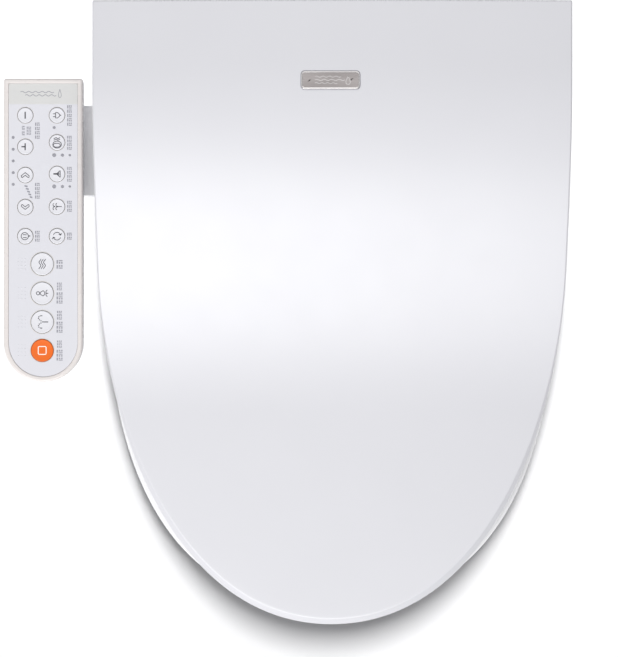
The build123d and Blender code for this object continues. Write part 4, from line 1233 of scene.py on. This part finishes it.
    def build_print(self) -> None:
        """Make the header band with its drop-and-waves mark."""
        height = self.face.z1
        raised = height + self.print_height
        inset = self.rim_width + 0.12
        left, right = self.bezel.x0 + inset, self.bezel.x1 - inset
        rear, front = self.bezel.y1 - inset, -2.2
        band = [(left, front), (right, front), (right, rear - 1.0), (right - 1.0, rear), (left + 1.0, rear),
                (left, rear - 1.0)]
        plate = Draft().prism(band, height - 0.1, raised)
        plate.make("header_band", BAND_BEIGE, "base", slot="face_lavender")
        over = raised + self.print_height
        x, y = self.middle + 1.0, 6.6
        drop = drop_line((x + 13.0, y + 0.2), 1.7, 3.4, 36)
        mark = Draft().stroke(drop, 0.45, height, over, loop=True)
        for row, (start, length) in enumerate(((-20.0, 28.0), (-16.0, 26.0))):
            wave = [(x + start + length * i / 60, y + 1.4 - 2.8 * row + 0.6 * math.sin(math.tau * i / 12))
                    for i in range(61)]
            mark.stroke(wave, 0.5, height, over)
        mark.make("header_mark", INK_MID, "base", slot="face_lavender")

    def build_labels(self) -> None:
        """Make the plain blocks that stand where words would be, and the level marks by the nozzle keys."""
        low, high = self.face.z1 - 0.1, self.face.z1 + self.print_height
        columns = ((-221.7, -217.9, self.label_right), (-248.6, -244.8, self.label_left),
                   (-230.6, -225.6, self.label_large), (-230.2, -226.2, self.label_small),
                   (-259.6, -257.4, (Label(-28.6, -19.6, 2),)), (-255.6, -252.0, (Label(-28.0, -20.6, 3),)))
        labels = Draft()
        for x0, x1, column in columns:
            for label in column:
                pitch = (label.rear - label.front) / label.count
                for i in range(label.count):
                    for y0, y1, left, right in self.block:
                        if i % 2:
                            y0, y1 = 0.9 - y1, 0.9 - y0
                        outline = [(x0 + (x1 - x0) * a, label.front + pitch * (i + b))
                                   for a, b in ((left, y0), (right, y0), (right, y1), (left, y1))]
                        labels.prism(outline, low, high)
        for i in range(5):
            left, right, front = -257.5 + 1.1 * i, -254.9 + 1.0 * i, -70.0 - 2.3 * i
            outline = [(left, front), (right, front - 0.6), (right, front - 1.9), (left, front - 1.3)]
            labels.prism(outline, low, high)
        labels.make("label_marks", INK_MID, "base", slot="face_lavender")

    def build_dots(self) -> None:
        """Make the even rows of raised dots beside the large keys."""
        dots = Draft()
        low = self.face.z1 - 0.06
        turns = [math.radians(15 * i) for i in range(7)]
        dome = [(0.55 * math.cos(t), low + 0.26 * math.sin(t)) for t in turns]
        for key in (Key.DRY, Key.BIDET, Key.WASH, Key.STOP):
            _, y, _ = Box.of(key.value).centre
            for column in self.dot_columns:
                for row in (-4.5, -1.5, 1.5, 4.5):
                    dots.lathe(dome, (column, y + row, 0.0), steps=16)
        dots.make("tactile_dots", FACE_LAVENDER, "base", slot="face_lavender", crease=80.0)

    def build(self) -> None:
        """Make the panel's pieces."""
        self.build_bezel()
        self.build_case()
        self.build_keys()
        self.build_print()
        self.build_labels()
        self.build_dots()
        dress(["panel_face"], FACE_LAVENDER)
        dress(["panel_leds"], LENS)
        dress(["panel_board"], BOARD)


# ---------------------------------------------------------------- housing and works


@dataclass
class Housing:
    """The housing behind the seat: tray, cover, panel arm, bracket, release button and connections."""

    edge: float = 1.2

    def build(self) -> None:
        """Ease the housing's edges and dress its fittings."""
        dress(["base_tray"], CASE_WHITE)
        softened("rear_cover", "housing_cover", CASE_WHITE, "base", self.edge, 3)
        softened("panel_arm", "panel_bridge", CASE_WHITE, "base", self.edge, 3)
        softened("mounting_bracket", "bracket", INNER_WHITE, "bracket", 0.5)
        dress(["base_pads"], RUBBER)
        dress(["case_screws"], STEEL)
        dress(["release_button"], CASE_WHITE)
        dress(["inlet_connector"], BRASS)
        dress(["cord_gland"], BLACK_PLASTIC)
        dress(["seat_damper", "lid_damper"], BLACK_PLASTIC)


@dataclass
class Works:
    """What the housing holds: water path, nozzles, dryer and electronics."""

    def build(self) -> None:
        """Dress the inner parts."""
        dress(["inlet_valve", "selector_valve", "water_tank", "nozzle_guide"], INNER_WHITE)
        dress(["blower_housing", "dryer_duct"], INNER_WHITE)
        dress(["tank_heater", "dryer_heater"], STEEL)
        dress(["inlet_hose", "tank_hose"], HOSE)
        dress(["wash_nozzle", "bidet_nozzle"], SEAT_WHITE)
        dress(["wash_pinion", "bidet_pinion"], ACETAL)
        dress(["wash_motor", "bidet_motor", "blower_motor"], MOTOR_CAN)
        dress(["blower_wheel"], BLACK_PLASTIC)
        dress(["dryer_flap"], CASE_WHITE)
        dress(["main_board"], BOARD)
        dress(["panel_cable"], CABLE_GREY)


# ---------------------------------------------------------------- studio


@dataclass(frozen=True)
class Softbox:
    """A rectangular lamp that points at a target, in metres."""

    name: str
    place: Point3
    target: Point3
    width: float
    height: float
    power: float
    colour: Colour = (1.0, 1.0, 1.0)

    def build(self, lit: bpy.types.Collection, clear: bpy.types.Collection | None = None) -> bpy.types.Object:
        """Make the lamp.

        Args:
            lit: the objects that the lamp lights or leaves out.
            clear: the objects that throw no shadow in its light, if any.

        Returns:
            The lamp.
        """
        light = bpy.data.lights.new(self.name, "AREA")
        light.shape = "RECTANGLE"
        light.size, light.size_y = self.width, self.height
        light.energy, light.color = self.power, self.colour
        lamp = bpy.data.objects.new(self.name, light)
        lamp.location = self.place
        aim = Vector(self.target) - Vector(self.place)
        lamp.rotation_euler = aim.to_track_quat("-Z", "Y").to_euler()
        bpy.context.scene.collection.objects.link(lamp)
        lamp.light_linking.receiver_collection = lit
        if clear is not None:
            lamp.light_linking.blocker_collection = clear
        return lamp


@dataclass
class Studio:
    """A pale floor, soft light and the camera straight above."""

    eye: Point3 = (-0.0189, -0.1903, 1.955)
    lens: float = 123.2
    sky: float = 0.24

    def build_floor(self) -> bpy.types.Object:
        """Make the floor under the object's lowest point."""
        low = CAD_BOUNDS[0][2]
        mesh = bpy.data.meshes.new("floor")
        reach = 12.0
        corners = ((-1, -1), (1, -1), (1, 1), (-1, 1))
        mesh.from_pydata([(reach * x, reach * y, low) for x, y in corners], [], [(0, 1, 2, 3)])
        floor = bpy.data.objects.new("floor", mesh)
        bpy.context.scene.collection.objects.link(floor)
        mesh.materials.append(FLOOR.build())
        return floor

    def build_camera(self) -> None:
        """Make the camera, looking straight down with the rear at the top."""
        camera = bpy.data.objects.new("camera", bpy.data.cameras.new("camera"))
        camera.location = self.eye
        camera.data.lens = self.lens
        camera.data.sensor_width = 36.0
        camera.data.clip_end = 60.0
        bpy.context.scene.collection.objects.link(camera)
        bpy.context.scene.camera = camera

    def lit_group(self, name: str, floor: bpy.types.Object, state: str) -> bpy.types.Collection:
        """Make a group that says whether a lamp lights the floor alone or everything but the floor."""
        group = bpy.data.collections.new(name)
        group.objects.link(floor)
        group.collection_objects[0].light_linking.link_state = state
        return group

    def shadeless_group(self, name: str) -> bpy.types.Collection:
        """Make a group of the panel's pieces, whose shadow the main floor lamp leaves out."""
        group = bpy.data.collections.new(name)
        for piece in list(bpy.context.scene.objects):
            if piece.type != "MESH":
                continue
            right = max((piece.matrix_world @ Vector(corner)).x for corner in piece.bound_box)
            if right < PANEL_EDGE_X:
                group.objects.link(piece)
        for entry in group.collection_objects:
            entry.light_linking.link_state = "EXCLUDE"
        return group

    def build_light(self, floor: bpy.types.Object) -> None:
        """Make the lamps and the pale surroundings."""
        seat_only = self.lit_group("lit_but_floor", floor, "EXCLUDE")
        floor_only = self.lit_group("lit_floor", floor, "INCLUDE")
        clear = self.shadeless_group("panel_without_shadow")
        centre = (0.0, -0.15, 0.1)
        under = (0.0, -0.15, 0.0)
        Softbox("front_softbox", (-0.75, -2.9, 2.45), centre, 3.4, 2.8, 144.0).build(seat_only)
        Softbox("left_softbox", (-2.2, -0.4, 1.6), centre, 1.2, 1.6, 8.0).build(seat_only)
        Softbox("rear_softbox", (0.2, 1.5, 2.0), centre, 2.4, 1.4, 17.0).build(seat_only)
        Softbox("overhead_softbox", (0.0, -0.1, 3.4), centre, 2.6, 2.6, 18.0).build(seat_only)
        Softbox("floor_lamp", (0.0, 0.75, 2.8), under, 0.35, 1.3, 84.0).build(floor_only, clear)
        Softbox("side_floor_lamp", (1.3, 1.5, 2.2), under, 1.8, 1.8, 20.0).build(floor_only)
        world = bpy.data.worlds.new("surroundings")
        world.use_nodes = True
        sky = world.node_tree.nodes["Background"]
        sky.inputs["Color"].default_value = (0.97, 0.97, 1.0, 1.0)
        sky.inputs["Strength"].default_value = self.sky
        bpy.context.scene.world = world
        bpy.context.scene.view_settings.view_transform = "Standard"

    def build(self) -> None:
        """Make the studio."""
        floor = self.build_floor()
        self.build_camera()
        self.build_light(floor)


def main() -> None:
    """Build the seat's sub-assemblies in order, then the studio."""
    logging.basicConfig(level=logging.INFO, format="%(name)s: %(message)s")
    for assembly in (Lid(), Badge(), SeatRing(), ControlPanel(), Housing(), Works(), Studio()):
        LOG.info("building %s", type(assembly).__name__)
        assembly.build()


if __name__ == "__main__":
    main()
